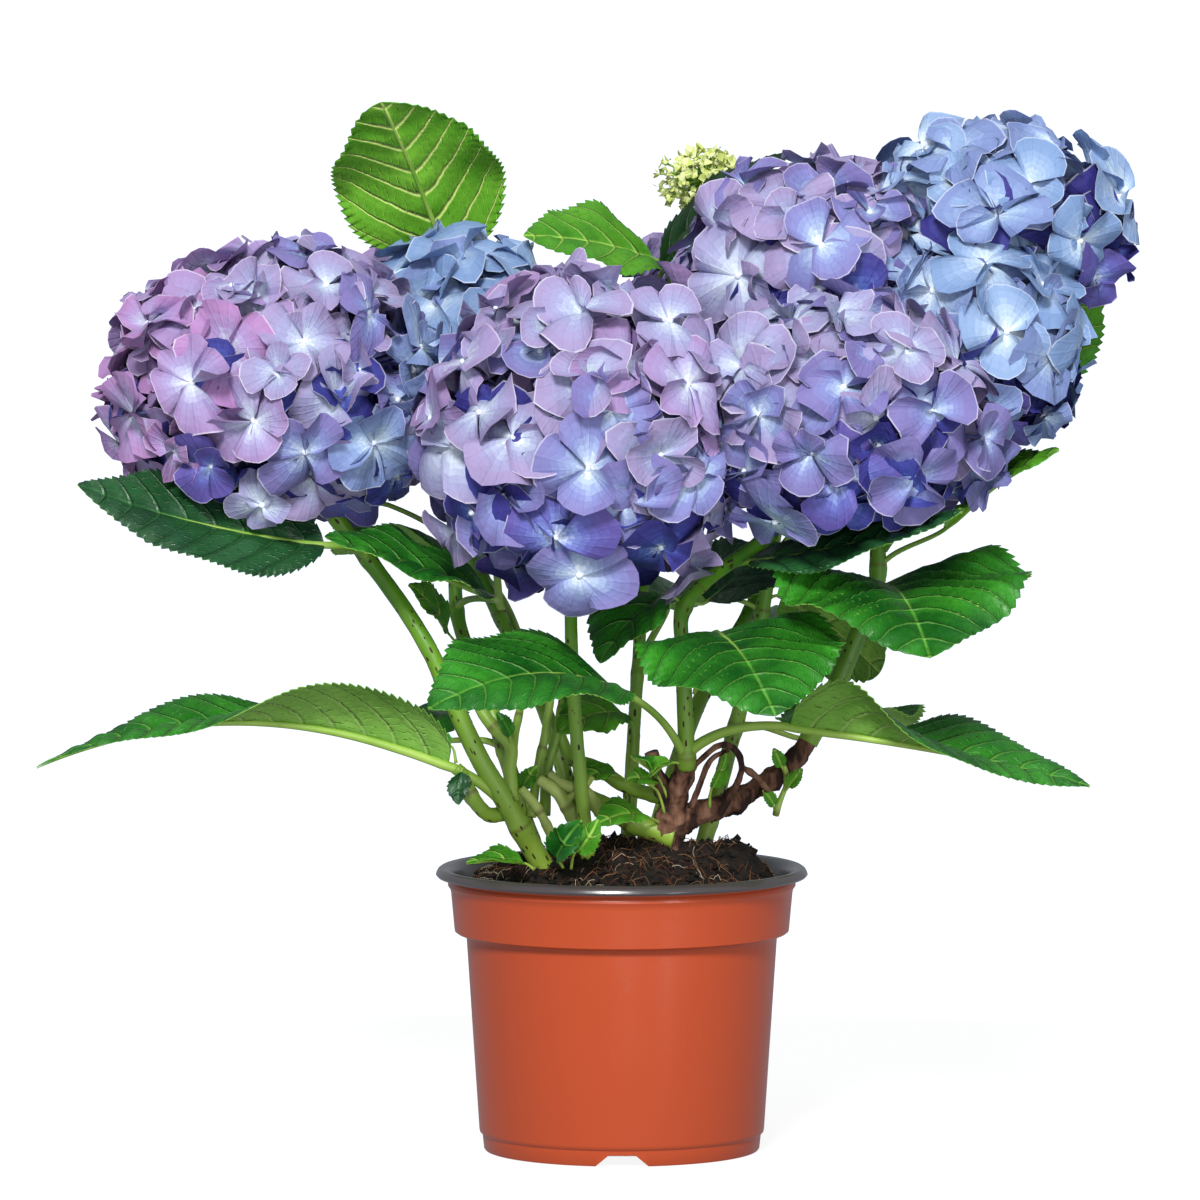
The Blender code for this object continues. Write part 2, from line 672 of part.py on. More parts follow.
class Space:
    """A head's own space: an ellipsoid cut off where its neighbours' begin."""

    def __init__(self, name):
        _, middle, sizes, _ = HEADS[name]
        self.middle = point(middle)
        self.sizes = point(sizes)
        self.walls = []
        for other in HEADS:
            if other != name:
                self.add_wall(point(HEADS[other][1]), point(HEADS[other][2]))
        self.add_wall(point(BUD_MIDDLE), point(BUD_SIZES))

    def radius_towards(self, way):
        return 1 / math.sqrt(sum((part / size) ** 2 for part, size in zip(way, self.sizes)))

    def floret_count(self):
        """Florets that fill the surface, each in its own hexagon of the spacing."""
        power = 1.6075
        a, b, c = (size**power for size in self.sizes)
        area = 4 * math.pi * ((a * b + a * c + b * c) / 3) ** (1 / power)
        covered = area * (1 - LOWEST_FLORET) / 2
        return round(covered / ((FLORET_SPACING * MM) ** 2 * math.sqrt(3) / 2))

    def add_wall(self, middle, sizes):
        """Flat wall between the two middles, shared out by the radii along that line."""
        across = middle - self.middle
        way = across.normalized()
        mine = self.radius_towards(way)
        theirs = 1 / math.sqrt(sum((part / size) ** 2 for part, size in zip(way, sizes)))
        if mine + theirs > across.length * 0.95:
            self.walls.append((way, across.length * mine / (mine + theirs) - 0.5 * GAP * MM))

    def press(self, place, margin):
        """The place, moved back behind any wall that it would cross, and how many walls moved it."""
        moved = 0
        for way, limit in self.walls:
            over = (place - self.middle).dot(way) - limit + margin
            if over > 0:
                place = place - way * over
                moved += 1
        return place, moved

    def holds(self, place):
        offset = place - self.middle
        return all(offset.dot(way) < limit for way, limit in self.walls)


def floret(space, way, spin, width, tilt):
    """Corners and faces of one four-lobed floret that stands on a pointed neck in the core."""
    radius = space.radius_towards(way)
    normal = Vector(part / size**2 for part, size in zip(way, space.sizes)).normalized()
    normal = (normal + tilt).normalized()
    across = Matrix.Rotation(spin, 3, normal) @ normal.orthogonal().normalized()
    along = normal.cross(across)
    face = space.middle + way * radius * FLORET_AT
    verts = [face - normal * FLORET_DISH * width, face - way * radius * FLORET_NECK]
    for lobe in range(FLORET_LOBES):
        for turn, reach, lift in LOBE_CORNERS:
            angle = math.radians(turn) + lobe * math.tau / FLORET_LOBES
            flat = across * math.cos(angle) + along * math.sin(angle)
            verts.append(face + flat * reach * width + normal * lift * width)
    corners = FLORET_LOBES * len(LOBE_CORNERS)
    faces = []
    for corner in range(corners):
        after = (corner + 1) % corners
        faces.append((0, 2 + corner, 2 + after))
        faces.append((1, 2 + after, 2 + corner))
    return verts, faces


def spread_ways(count):
    """Directions spread evenly over a ball, from the top down to where the stem comes in."""
    turn = math.pi * (3 - math.sqrt(5))
    for index in range(count):
        height = 1 - (1 - LOWEST_FLORET) * (index + 0.5) / count
        flat = math.sqrt(1 - height**2)
        yield Vector((flat * math.cos(index * turn), flat * math.sin(index * turn), height))


def fuse(core, shapes):
    """Join a collection's shapes to the core and remove them."""
    boolean(core, "UNION", group=shapes, solver="MANIFOLD")
    keep_largest_body(core)
    for obj in list(shapes.objects):
        bpy.data.objects.remove(obj)
    bpy.data.collections.remove(shapes)


def stem_up(name, cane, depth, middle, shapes):
    """Short stem of a head: it starts just clear of its cane's tip and runs into the core."""
    heading = (cane.path[-1] - cane.path[-2]).normalized()
    foot = cane.path[-1] + heading * GAP * MM
    radius = cane.radii[-1] * STEM_SHARE
    tube(name + "_stem", [foot, foot + heading * depth * MM, middle], [radius] * 3, shapes, sides=6)


def build_core(name, middle, sizes, plant, slot):
    made = bmesh.new()
    place = Matrix.Translation(middle) @ Matrix.Diagonal((*sizes, 1))
    bmesh.ops.create_icosphere(made, subdivisions=2, radius=1, matrix=place)
    mesh = bpy.data.meshes.new(name)
    made.to_mesh(mesh)
    made.free()
    core = bpy.data.objects.new(name, mesh)
    plant.objects.link(core)
    mesh.materials.append(material(slot))
    return core


def build_head(name, limbs, obstacles, plant):
    """One flower head: a core, a short stem down to its cane, and florets set by a seeded rule."""
    carrier, _, _, petals = HEADS[name]
    chance = random.Random(f"{SEED} {name}")
    space = Space(name)
    shapes = collection(name + "_shapes")
    core = build_core(name, space.middle, space.sizes * CORE_SHARE, plant, petals)
    for vert in core.data.vertices:
        vert.co = space.press(vert.co, CORE_MARGIN * MM)[0]
    stem_up(name, limbs[carrier], STEM_STRAIGHT, space.middle, shapes)
    for way in spread_ways(space.floret_count()):
        lean = Vector(chance.uniform(-FLORET_LEAN, FLORET_LEAN) for _ in range(3))
        spin = chance.uniform(0, math.pi / 2)
        width = FLORET_WIDTH * MM * chance.uniform(1 - FLORET_SPREAD, 1 + FLORET_SPREAD)
        margin = chance.uniform(*FLORET_MARGINS) * MM
        for shrink in FLORET_SHRINKS:
            verts, faces = floret(space, way, spin, width * shrink, lean)
            pressed = [space.press(vert, margin) for vert in verts]
            verts = [vert for vert, _ in pressed]
            if sum(moved > 0 for _, moved in pressed) > MOST_PRESSED:
                continue
            if not all(space.holds(vert) for vert in verts):
                continue
            tree = BVHTree.FromPolygons(verts, faces)
            if any(tree.overlap(obstacle) for obstacle in obstacles):
                continue
            mesh_object("floret", verts, faces, shapes)
            break
    fuse(core, shapes)
    return core


def build_bud_head(limbs, plant):
    """The young head: small tight buds on a little core."""
    middle, sizes = point(BUD_MIDDLE), point(BUD_SIZES)
    shapes = collection("bud_shapes")
    core = build_core("bud_head", middle, sizes * BUD_CORE_SHARE, plant, "bud_green")
    stem_up("bud_head", limbs["cane_bud"], BUD_STEM_STRAIGHT, middle, shapes)
    for index, way in enumerate(spread_ways(BUD_COUNT)):
        spot = middle + Vector(part * size for part, size in zip(way, sizes))
        made = bmesh.new()
        place = Matrix.Translation(spot)
        bmesh.ops.create_icosphere(made, subdivisions=1, radius=BUD_RADIUS * MM, matrix=place)
        mesh = bpy.data.meshes.new("bud")
        made.to_mesh(mesh)
        made.free()
        shapes.objects.link(bpy.data.objects.new(f"bud_{index}", mesh))
    fuse(core, shapes)
    return core


def main():
    clear_scene()
    plant = collection("potted_hydrangea")
    cutters = collection("cutters")
    guides = collection("guides")
    build_pot(plant, cutters)
    build_soil("compost", plant, slot="compost")
    raised_soil = build_soil("raised_soil", guides, raised=GAP)
    limbs = {}
    for name in LIMBS:
        build_limb(name, limbs, raised_soil, plant, guides)
    bpy.data.objects.remove(raised_soil)
    leaves = [build_leaf(name, limbs, plant, guides) for name in LEAVES]
    bud_head = build_bud_head(limbs, plant)
    obstacles = [tree_of(limb.obj) for limb in limbs.values()]
    obstacles += [tree_of(leaf) for leaf in leaves]
    obstacles.append(tree_of(bud_head))
    for name in HEADS:
        build_head(name, limbs, obstacles, plant)


main()
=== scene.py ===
"""Looks of the potted mophead hydrangea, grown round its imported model.

The tables are in millimetres and degrees, and everything made from them is in metres. +Z is up, and -Y is
the front. Limbs, leaves and flower heads follow the same rules as the solids they replace, carried finer.
"""

import math
import zlib

import bmesh
import bpy
import numpy as np
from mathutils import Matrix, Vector
from mathutils.bvhtree import BVHTree


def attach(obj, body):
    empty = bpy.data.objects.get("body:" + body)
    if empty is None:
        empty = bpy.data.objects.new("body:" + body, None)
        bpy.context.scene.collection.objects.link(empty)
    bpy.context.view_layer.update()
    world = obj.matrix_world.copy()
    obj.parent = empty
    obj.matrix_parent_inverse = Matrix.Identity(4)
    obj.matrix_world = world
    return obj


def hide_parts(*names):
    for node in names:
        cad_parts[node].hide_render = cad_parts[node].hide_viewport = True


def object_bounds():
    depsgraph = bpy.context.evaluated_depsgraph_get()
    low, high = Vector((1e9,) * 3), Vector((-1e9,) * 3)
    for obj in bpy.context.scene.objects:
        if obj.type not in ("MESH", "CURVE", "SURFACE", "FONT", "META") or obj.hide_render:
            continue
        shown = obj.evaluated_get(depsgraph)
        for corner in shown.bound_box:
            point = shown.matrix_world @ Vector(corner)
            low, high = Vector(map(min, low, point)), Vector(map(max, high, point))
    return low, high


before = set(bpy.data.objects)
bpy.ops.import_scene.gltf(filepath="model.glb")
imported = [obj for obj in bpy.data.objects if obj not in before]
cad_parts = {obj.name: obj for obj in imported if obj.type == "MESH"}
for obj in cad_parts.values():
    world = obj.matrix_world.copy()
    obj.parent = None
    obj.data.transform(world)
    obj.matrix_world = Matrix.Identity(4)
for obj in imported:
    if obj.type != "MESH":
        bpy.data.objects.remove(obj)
CAD_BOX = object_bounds()

MM = 0.001
X, Y, UP = np.eye(3)
BOX_MARGIN = 0.1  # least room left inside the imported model's box

# Pot: outer radii and heights
POT_STEPS = 192
POT_HEIGHT = 107.0
LIP_RADIUS = 70.0
LIP_UNDER = 103.5
COLLAR_TOP = 64.5
COLLAR_BOTTOM = 63.0
COLLAR_HEIGHT = 82.4
BODY_TOP = 58.5
BODY_BOTTOM = 53.6
FOOT_RADIUS = 52.4
FOOT_HEIGHT = 6.4
FLOOR = 6.6
WALL = 1.5
CHANNEL_COUNT = 3
CHANNEL_FOOT = 20.0
CHANNEL_ROOF = 10.0
CHANNEL_HEIGHT = 4.4
CHANNEL_START = 22.0
SHARP_ANGLE = 35.0

# Compost. A mound is its middle's x and y, its spread and its height.
SOIL_SKIRT = 97.0
SOIL_MOUNDS = ((5.0, 0.0, 30.0, 20.0), (49.0, 8.0, 13.0, 14.0))
LITTER = (-40.0, 6.0, 20.0, 7.0)  # loose compost heaped up on it
SOIL_FOOT_DEPTH = 8.0
SOIL_REACH = COLLAR_TOP - WALL
SOIL_RINGS = 46
SOIL_SPOKES = 150
CRUMBS = 900
FIBRES = 620

# Limbs: what each stands on, via points from foot to tip, radius at the foot and at the tip
LIMBS = {
    "old_stump": ("soil", ((15, 2), (19, -4, 128), (24, -11, 146)), 8.5, 5.0),
    "old_stub": ("old_stump", ((19, -4, 130), (14, -7, 140), (11, -9, 151)), 4.0, 3.0),
    "old_branch": ("old_stump", ((20, -2, 124), (46, 6, 133), (62, 8, 144), (71, 10, 154)), 6.2, 4.2),
    "cane_left": ("soil", (
        (-25, -10), (-42, -21, 131), (-55, -26, 154), (-72, -24, 191), (-88, -16, 215), (-112, -11, 246),
    ), 4.6, 3.0),
    "cane_left_inner": ("soil", (
        (-29, 8), (-41, 0, 140), (-50, 8, 168), (-62, 22, 200), (-62, 38, 234), (-60, 50, 266),
    ), 3.4, 2.5),
    "cane_front": ("soil", (
        (-12, -15), (-16, -23, 148), (-18, -28, 174), (-19, -36, 200), (-19, -52, 225),
    ), 2.9, 2.4),
    "cane_middle": ("old_stump", (
        (24, -11, 145), (24, -14, 160), (23, -17, 187), (25, -20, 210), (56, -40, 236),
    ), 3.3, 2.6),
    "cane_right": ("old_branch", (
        (70, 10, 153), (77, 12, 166), (86, 14, 186), (96, 16, 212), (98, 20, 234), (114, 36, 270),
        (132, 32, 314),
    ), 4.0, 2.6),
    "cane_right_front": ("cane_right", (
        (98, 18, 226), (110, 8, 246), (126, -2, 261), (133, -4, 270),
    ), 2.7, 2.3),
    "cane_back": ("soil", ((28, 22), (44, 34, 160), (54, 38, 204), (60, 32, 250), (67, 16, 298)), 3.4, 2.5),
    "cane_back_left": ("soil", ((-12, 30), (-28, 52, 158), (-52, 84, 206), (-70, 106, 252)), 3.6, 2.6),
    "cane_back_right": ("soil", ((8, 34), (28, 58, 160), (56, 84, 212), (61, 98, 264)), 3.6, 2.6),
    "cane_bud": ("soil", ((2, 20), (5, 38, 160), (10, 54, 226), (20, 68, 290), (29, 74, 344)), 2.8, 2.0),
}
JOINT_SPACING = 55.0
JOINT_SWELL = (0.13, 3.2)  # share of the radius, and how far it reaches along the cane
SCAR_PLACE = (1.2, 0.6)  # how far past the joint a leaf scar is, and how far it reaches
SPECKS = 0.75  # for each millimetre of cane
SPECK_LONG = (0.4, 1.7)
SPECK_WIDE = (0.25, 0.6)
BARK_KNOBS = 9.0  # spacing

# Thin shoots round the feet of the canes: material, radius at the start and at the end, and via points
SHOOTS = (
    ("cane", 3.0, 2.4, ((-43, -16, 129), (-50, -22, 129), (-56, -27, 136), (-59, -28, 144), (-62, -28, 147))),
    ("petiole", 2.7, 2.0, (
        (-41, -14, 133), (-42, -12, 145), (-42, -10, 154), (-51, -8, 164), (-55, -4, 174), (-57, 4, 192),
    )),
    ("petiole", 1.7, 1.2, ((-41, -11, 151), (-40, -6, 158), (-38, 0, 168), (-35, 4, 185))),
    ("petiole", 1.9, 1.5, ((-34, -2, 126), (-32, 2, 141), (-29, 4, 156), (-26, 6, 176))),
    ("cane", 2.2, 1.6, ((-29, 4, 126), (-28, 8, 143), (-24, 10, 158), (-20, 13, 182))),
    ("pale", 1.8, 1.9, ((-38, -14, 138), (-32, -15, 131), (-26, -14, 120))),
    ("pale", 2.2, 2.9, ((-31, -10, 141), (-25, -12, 137), (-20, -12, 130), (-15, -12, 120))),
    ("pale", 1.8, 2.4, ((-27, -8, 143), (-22, -10, 139), (-13, -10, 136), (-8, -8, 128))),
    ("pale", 1.5, 1.2, ((-20, -12, 134), (-15, -17, 138), (-11, -18, 143))),
    ("cane", 3.0, 2.2, ((15, 2, 133), (1, 6, 137), (-10, 8, 144), (-19, 10, 147), (-25, 12, 160))),
    ("cane", 4.8, 3.4, ((20, -4, 119), (9, -2, 122), (-3, 0, 128), (-14, 2, 133), (-20, 3, 134))),
    ("bark", 1.0, 1.4, (
        (27, -11, 146), (36, -14, 154), (42, -14, 153), (45, -12, 146), (42, -8, 137), (36, -5, 126),
    )),
    ("bark", 1.3, 0.9, ((26, -8, 130), (31, -12, 144), (34, -12, 149), (40, -8, 152))),
    ("bark", 1.1, 1.2, ((45, -12, 146), (50, -6, 142), (55, 0, 136))),
    ("petiole", 1.0, 1.3, ((62, 6, 137), (59, 4, 130), (58, 5, 126))),
    ("petiole", 1.2, 0.9, ((62, 6, 137), (62, 4, 141), (61, 2, 145))),
)
SHOOT_LUMPS = {"bark": 0.22, "pale": 0.16, "cane": 0.06, "petiole": 0.06}  # shares of the radius

# Flower heads: limb, middle, half-sizes, slot, mean tint and how the tint runs over the head. A tint is a
# place in PALETTES, from warm to cool.
HEADS = {
    "bloom_left": ("cane_left", (-130, -10, 287), (66, 58, 54), "petal_mauve", 1.7, (1.8, 0, -0.3)),
    "bloom_left_behind": ("cane_left_inner", (-60, 50, 299), (47, 44, 42), "petal_blue", 4.8, (-0.2, 0, 0.2)),
    "bloom_front": ("cane_front", (-15, -55, 271), (60, 54, 65), "petal_lilac", 2.2, (0.2, 0, -0.4)),
    "bloom_middle_back": ("cane_back", (76, 8, 328), (57, 48, 43), "petal_lilac", 2.2, (0.7, 0, 0.2)),
    "bloom_middle_front": ("cane_middle", (81, -46, 277), (60, 50, 46), "petal_lilac", 2.7, (0.2, 0, -0.5)),
    "bloom_right_top": ("cane_right", (139, 20, 349), (52, 45, 36), "petal_blue", 4.5, (0.4, 0, 0.1)),
    "bloom_right_low": ("cane_right_front", (131, -6, 302), (42, 42, 41), "petal_blue", 4.1, (0.4, 0, 0)),
    "bloom_back_left": ("cane_back_left", (-74, 123, 288), (58, 46, 46), "petal_mauve", 1.8, (0.9, 0, -0.4)),
    "bloom_back_right": ("cane_back_right", (62, 106, 302), (60, 48, 48), "petal_lilac", 2.8, (0.9, 0, -0.3)),
}
LOWEST_FLORET = -0.8  # cosine from straight up below which a head is bare round its stem
# Layers of florets: share of the head's radius, spacing, width, lean, how far the tint turns to the dark
# palettes of painted shade, and shares of the way out and number of columns of a sepal's faces
LAYERS = (
    (0.94, 26.5, 42.0, 0.42, 0.35, (0.03, 0.11, 0.20, 0.30, 0.41, 0.53, 0.66, 0.82, 0.972, 1.0), 10),
    (0.84, 25.0, 40.0, 0.66, 0.8, (0.03, 0.15, 0.28, 0.43, 0.6, 0.8, 0.97, 1.0), 8),
    (0.71, 19.5, 38.0, 0.5, 1.4, (0.03, 0.3, 0.65, 1.0), 6),
)
# The pale rim is a painted highlight along the sepals' edges
RIM_START = 0.972  # share of the way out past which a face can be a pale rim
FLORET_SCATTER = (0.91, 1.06)
FLORET_MARGINS = (-5.0, 0.5)  # how far short of a neighbour's wall petals stop; they mingle past it
FLORET_SHRINKS = (1.0, 0.85, 0.68)
FLORET_SCALES = {"bloom_left": 0.88, "bloom_left_behind": 1.08}
FLORET_NECK = 0.33
MOST_PRESSED = 8
WALL_NEAR = 16.0  # distance from a neighbour's wall at which florets start to face away from it
SKIN = (0.09, 0.5)  # share of the radius past their layer at which petals are drawn in, and what they keep
SEPALS = 4
SEPAL_HALF_ANGLE = 69.0
BEAD_RADIUS = 1.35
BEAD_SIDES = 7
STALK_RADIUS = 0.75
# Corners of each lobe of the source's plain floret: turn, reach and lift
STAR_LOBE = ((-24, 0.5, 0.02), (24, 0.5, 0.05), (45, 0.36, -0.03))

BUD_MIDDLE = (32, 75, 362)
BUD_SIZES = (18, 15, 12)
BUD_COUNT = 70

# Leaves, without the leaf_ of their names: limb, share of the way up it, base and tip of the blade, width,
# way the upper side faces, fold and rise
LEAVES = {
    "tall_left": ("cane_back_left", 0.62, (-66, 86, 330), (-91, 44, 393), 65, (0, 0.8, 0.58), 6, 5),
    "bright_top": ("cane_bud", 0.84, (12, 62, 333), (-37, 33, 343), 46, (0, -0.55, 0.83), 10, 3),
    "dark_top": ("cane_bud", 0.8, (15, 54, 328), (65, 38, 374), 27, (-0.65, -0.35, 0.65), 12, 8),
    "far_left": ("cane_left", 0.84, (-111, -31, 231), (-201, -66, 256), 47, (0, -0.7, 0.75), 10, -4),
    "left_front": ("cane_left_inner", 0.62, (-50, -18, 211), (-110, -58, 236), 44, (0, -0.4, 0.9), 12, 2),
    "front_left": ("cane_middle", 0.03, (-4, -53, 180), (-71, -112, 177), 64, (0, -0.45, 0.9), 8, 10),
    "long_left": ("cane_left", 0.16, (-65, -28, 148), (-218, -58, 150), 60, (0, 0.485, 0.875), 21, 19),
    "front_middle": ("cane_middle", 0.34, (36, -30, 198), (56, -106, 174), 78, (-0.05, -0.3, 0.95), 8, 6),
    "right": ("cane_right", 0.34, (98, -5, 214), (113, -90, 194), 98, (0, -0.22, 0.97), 13, 8),
    "long_right": ("cane_middle", 0.05, (63, -22, 162), (174, -45, 142), 60, (0, 0.485, 0.875), 21, 3),
    "under_middle": ("cane_middle", 0.66, (48, -32, 225), (125, -76, 247), 38, (0, -0.42, 0.9), 8, -2),
    "inner_back": ("cane_back", 0.5, (38, 40, 208), (30, 94, 222), 32, (0, -0.2, 0.98), 10, 4),
    "inner_left": ("cane_middle", 0.56, (16, -24, 211), (-8, -46, 188), 40, (-0.5, -0.45, 0.74), 12, 4),
    "inner_right": ("cane_middle", 0.56, (32, -8, 208), (64, 34, 226), 36, (0.1, -0.5, 0.86), 12, 3),
    "pale_right": ("cane_back", 0.42, (61, 47, 205), (98, 38, 177), 44, (0.1, 0.85, 0.52), 8, 5),
    "far_right": ("cane_right", 0.7, (142, 46, 284), (182, 58, 332), 44, (0.55, -0.5, 0.66), 10, 4),
    "right_upper": ("cane_right", 0.4, (124, 8, 236), (163, -24, 266), 40, (-0.35, -0.2, 0.9), 10, 3),
    "small_left": ("cane_left_inner", 0.5, (-66, 8, 196), (-80, -6, 214), 20, (0, -0.6, 0.8), 14, 2),
    "inner_low": ("cane_bud", 0.12, (0, 12, 164), (-24, -6, 158), 28, (0, -0.5, 0.85), 10, 4),
    "basal_front": ("old_stump", 0.3, (8, -16, 128), (-10, -34, 126), 16, (0, -0.6, 0.8), 14, 3),
    "basal_arch": ("cane_bud", 0.06, (-2, 0, 142), (-16, -8, 139), 14, (0, -0.4, 0.9), 14, 3),
    "back_left_low": ("cane_back_left", 0.46, (-56, 104, 211), (-112, 164, 212), 64, (0, 0.3, 0.95), 10, 8),
    "back_right_low": ("cane_back_right", 0.42, (58, 104, 186), (112, 168, 178), 66, (0, 0.3, 0.95), 10, 10),
    "back_middle": ("cane_bud", 0.3, (18, 74, 200), (24, 158, 190), 68, (0, 0.3, 0.95), 12, 10),
    "back_left_high": ("cane_back_left", 0.72, (-92, 112, 236), (-160, 124, 244), 54, (0, 0.3, 0.95), 12, 4),
    "back_right_high": ("cane_back_right", 0.62, (78, 110, 234), (138, 150, 246), 56, (0, 0.3, 0.95), 12, 4),
    "side_right": ("cane_back", 0.28, (72, 42, 152), (110, 104, 150), 54, (0, 0.1, 0.99), 10, 6),
    "side_left": ("cane_left_inner", 0.3, (-72, 24, 154), (-106, 90, 152), 52, (0, 0.1, 0.99), 10, 6),
}
LEAF_TURNS = {"long_left": -40, "long_right": 46}
# Leaves that aren't the common mid green: tone of the upper side. The darkest tone is painted shade.
LEAF_TONES = {
    "bright_top": "bright", "dark_top": "black", "far_left": "dark", "under_middle": "dark",
    "inner_right": "dark", "inner_back": "dark", "inner_low": "bright", "small_left": "bright",
    "basal_front": "bright", "basal_arch": "bright", "right_upper": "bright", "far_right": "bright",
}
BRIGHT_UNDER = ("tall_left", "bright_top", "far_right", "right_upper")
# How fast a leaf swells from the base and how slowly it narrows to the tip, and leaves that differ
LEAF_OUTLINE = (0.55, 0.85)
LEAF_OUTLINES = {
    "tall_left": (0.56, 0.68), "bright_top": (0.55, 0.9), "pale_right": (0.55, 0.6),
    "long_left": (0.5, 1.45), "long_right": (0.5, 0.95),
}
TURN_SPAN = (0.1, 0.7)  # shares of the length between which a leaf turns
LEAF_POINT = (0.16, 0.72)  # how far the outline is drawn in before the tip, and where that starts
LEAF_COLUMNS = 24
LEAF_HALF_THICK = 0.16
TOOTH = 3.0  # spacing of the teeth along a leaf
TOOTH_DEPTH = 1.7
TOOTH_ROWS = (0.0, 0.35, 0.7, 0.94)
VEIN_LEAN = 1.0
VEIN_SPACING = 11.5
PETIOLE_RADIUS = 1.7
PETIOLE_SWELL = 1.15
PETIOLE_WAIST = 0.8
PETIOLE_EASE = 0.35
PETIOLE_OUTWARD = 0.6
# Small leaves round the feet of the canes: start of the stalk, base to rise as in LEAVES, turn and tone
SPROUTS = (
    ((-59, -29, 147), (-60, -31, 146), (-61, -34, 134), 9, (0.4, -0.9, 0.1), 25, -1, 40, "dark"),
    ((-62, -28, 149), (-64, -29, 156), (-74, -30, 162), 6, (0, -0.5, 0.85), 20, 1, 0, "mid"),
    ((-42, -11, 151), (-42, -14, 158), (-47, -18, 167), 6, (0.3, -0.8, 0.4), 20, 1, 0, "mid"),
    ((17, -8, 134), (13, -12, 143), (3, -17, 151), 9, (0, -0.8, 0.5), 30, 2, 60, "mid"),
    ((16, -8, 128), (12, -13, 139), (2, -20, 142), 9, (0, -0.3, 0.9), 25, 2, -40, "bright"),
    ((33, -6, 130), (34, -9, 138), (39, -13, 151), 8, (0.5, -0.8, 0.2), 25, 1, 30, "bright"),
    ((27, -17, 174), (28, -20, 178), (34, -25, 187), 5, (0.3, -0.9, 0.2), 25, 1, 20, "bright"),
    ((27, -17, 174), (30, -19, 177), (38, -20, 182), 4, (0.2, -0.7, 0.6), 25, 1, 20, "bright"),
    ((-22, -33, 110), (-24, -35, 114), (-15, -44, 129), 13, (-0.5, -0.8, 0.3), 30, 2, 30, "mid"),
    ((-19, -36, 110), (-17, -39, 117), (-9, -40, 129), 10, (0.5, -0.8, 0.2), 30, 2, -30, "bright"),
    ((-33, -30, 109), (-37, -32, 112), (-58, -42, 113), 14, (0, -0.5, 0.85), 18, 2, 20, "bright"),
    ((61, 5, 134), (63, 3, 137), (68, 1, 144), 5, (0.2, -0.8, 0.5), 20, 1, 0, "bright"),
    ((58, 5, 126), (57, 3, 130), (53, 0, 136), 5, (0, -0.8, 0.5), 20, 1, 0, "bright"),
    ((61, 3, 143), (60, 1, 145), (57, -2, 152), 5, (0, -0.9, 0.3), 20, 1, 0, "bright"),
    ((24, -13, 146), (18, -16, 148), (10, -20, 143), 8, (0, -0.6, 0.8), 25, 2, 40, "bright"),
    ((-35, -1, 128), (-37, -4, 137), (-32, -10, 146), 7, (-0.4, -0.8, 0.3), 25, 1, 30, "bright"),
)

# Materials, by the rule that makes them. Plastic: colour, roughness, haze, specular.
PLASTICS = {
    "pot_outside": ((0.445, 0.063, 0.0165), 0.3, 0.04, 0.42),
    "pot_inside": ((0.055, 0.045, 0.045), 0.22, 0.06, 0.8),
}
# Bark and compost: colour, roughness, specular, noise of the lumps, depth, scale of the grain, colour stops
LUMPY = {
    "bark": ((0.16, 0.072, 0.042), 0.85, 0.3, (170, 8, (1, 1, 0.4)), 2.0, 700, (
        (0.42, (0.028, 0.012, 0.009)), (0.52, (0.16, 0.072, 0.042)), (0.64, (0.25, 0.135, 0.085)),
    )),
    "compost": ((0.013, 0.007, 0.004), 0.8, 0.35, (260, 8), 1.2, 900, (
        (0.4, (0.003, 0.0018, 0.0012)), (0.66, (0.019, 0.009, 0.0045)),
    )),
}
# One colour with fine relief: colour, roughness and, where it isn't 0.3, specular
PLAINS = {
    "fibre_tan": ((0.20, 0.10, 0.045), 0.8),
    "fibre_rust": ((0.12, 0.035, 0.015), 0.8),
    "fibre_pale": ((0.50, 0.42, 0.30), 0.8),
    "speck": ((0.06, 0.03, 0.015), 0.6),
    "bud": ((0.52, 0.60, 0.16), 0.6),
    "bud_tip": ((0.72, 0.76, 0.36), 0.6),
    # Partly painted shade: the stalks are real, but their dark blue stands for the shade in the gaps between
    # florets
    "stalk": ((0.10, 0.11, 0.27), 0.6),
    "bead": ((0.80, 0.86, 0.94), 0.4, 0.5),
}
# Stems: dark and light colour, roughness. Then the colour that they turn to near the compost, and a scar's.
STEMS = {
    "cane": ((0.055, 0.20, 0.012), (0.16, 0.38, 0.018), 0.42),
    "pale": ((0.26, 0.34, 0.08), (0.58, 0.62, 0.26), 0.6),
    "petiole": ((0.17, 0.36, 0.035), (0.34, 0.52, 0.10), 0.45),
}
OLD_STEM = (0.40, 0.56, 0.075)
SCAR = (0.12, 0.05, 0.015)
# Leaves: dark, light and vein colours, roughness, specular, whether veins are raised and how far they show
LEAF_SKINS = {
    "leaf_mid": ((0.006, 0.098, 0.007), (0.038, 0.265, 0.016), (0.16, 0.44, 0.055), 0.40, 0.36, False, 0.5),
    "leaf_dark": ((0.008, 0.050, 0.014), (0.022, 0.125, 0.030), (0.04, 0.17, 0.045), 0.36, 0.6, False, 0.45),
    "leaf_bright": ((0.04, 0.21, 0.010), (0.10, 0.34, 0.018), (0.34, 0.56, 0.09), 0.55, 0.2, False, 0.7),
    # Painted shade: a very dark green for a leaf that lies in shade between the heads
    "leaf_black": ((0.003, 0.018, 0.005), (0.008, 0.045, 0.010), (0.03, 0.09, 0.025), 0.5, 0.25, False, 0.45),
    "leaf_under": ((0.15, 0.35, 0.045), (0.23, 0.46, 0.08), (0.40, 0.60, 0.17), 0.65, 0.15, True, 0.4),
    "leaf_under_bright": ((0.09, 0.33, 0.015), (0.185, 0.48, 0.036), (0.62, 0.8, 0.2), 0.6, 0.15, True, 1.3),
}
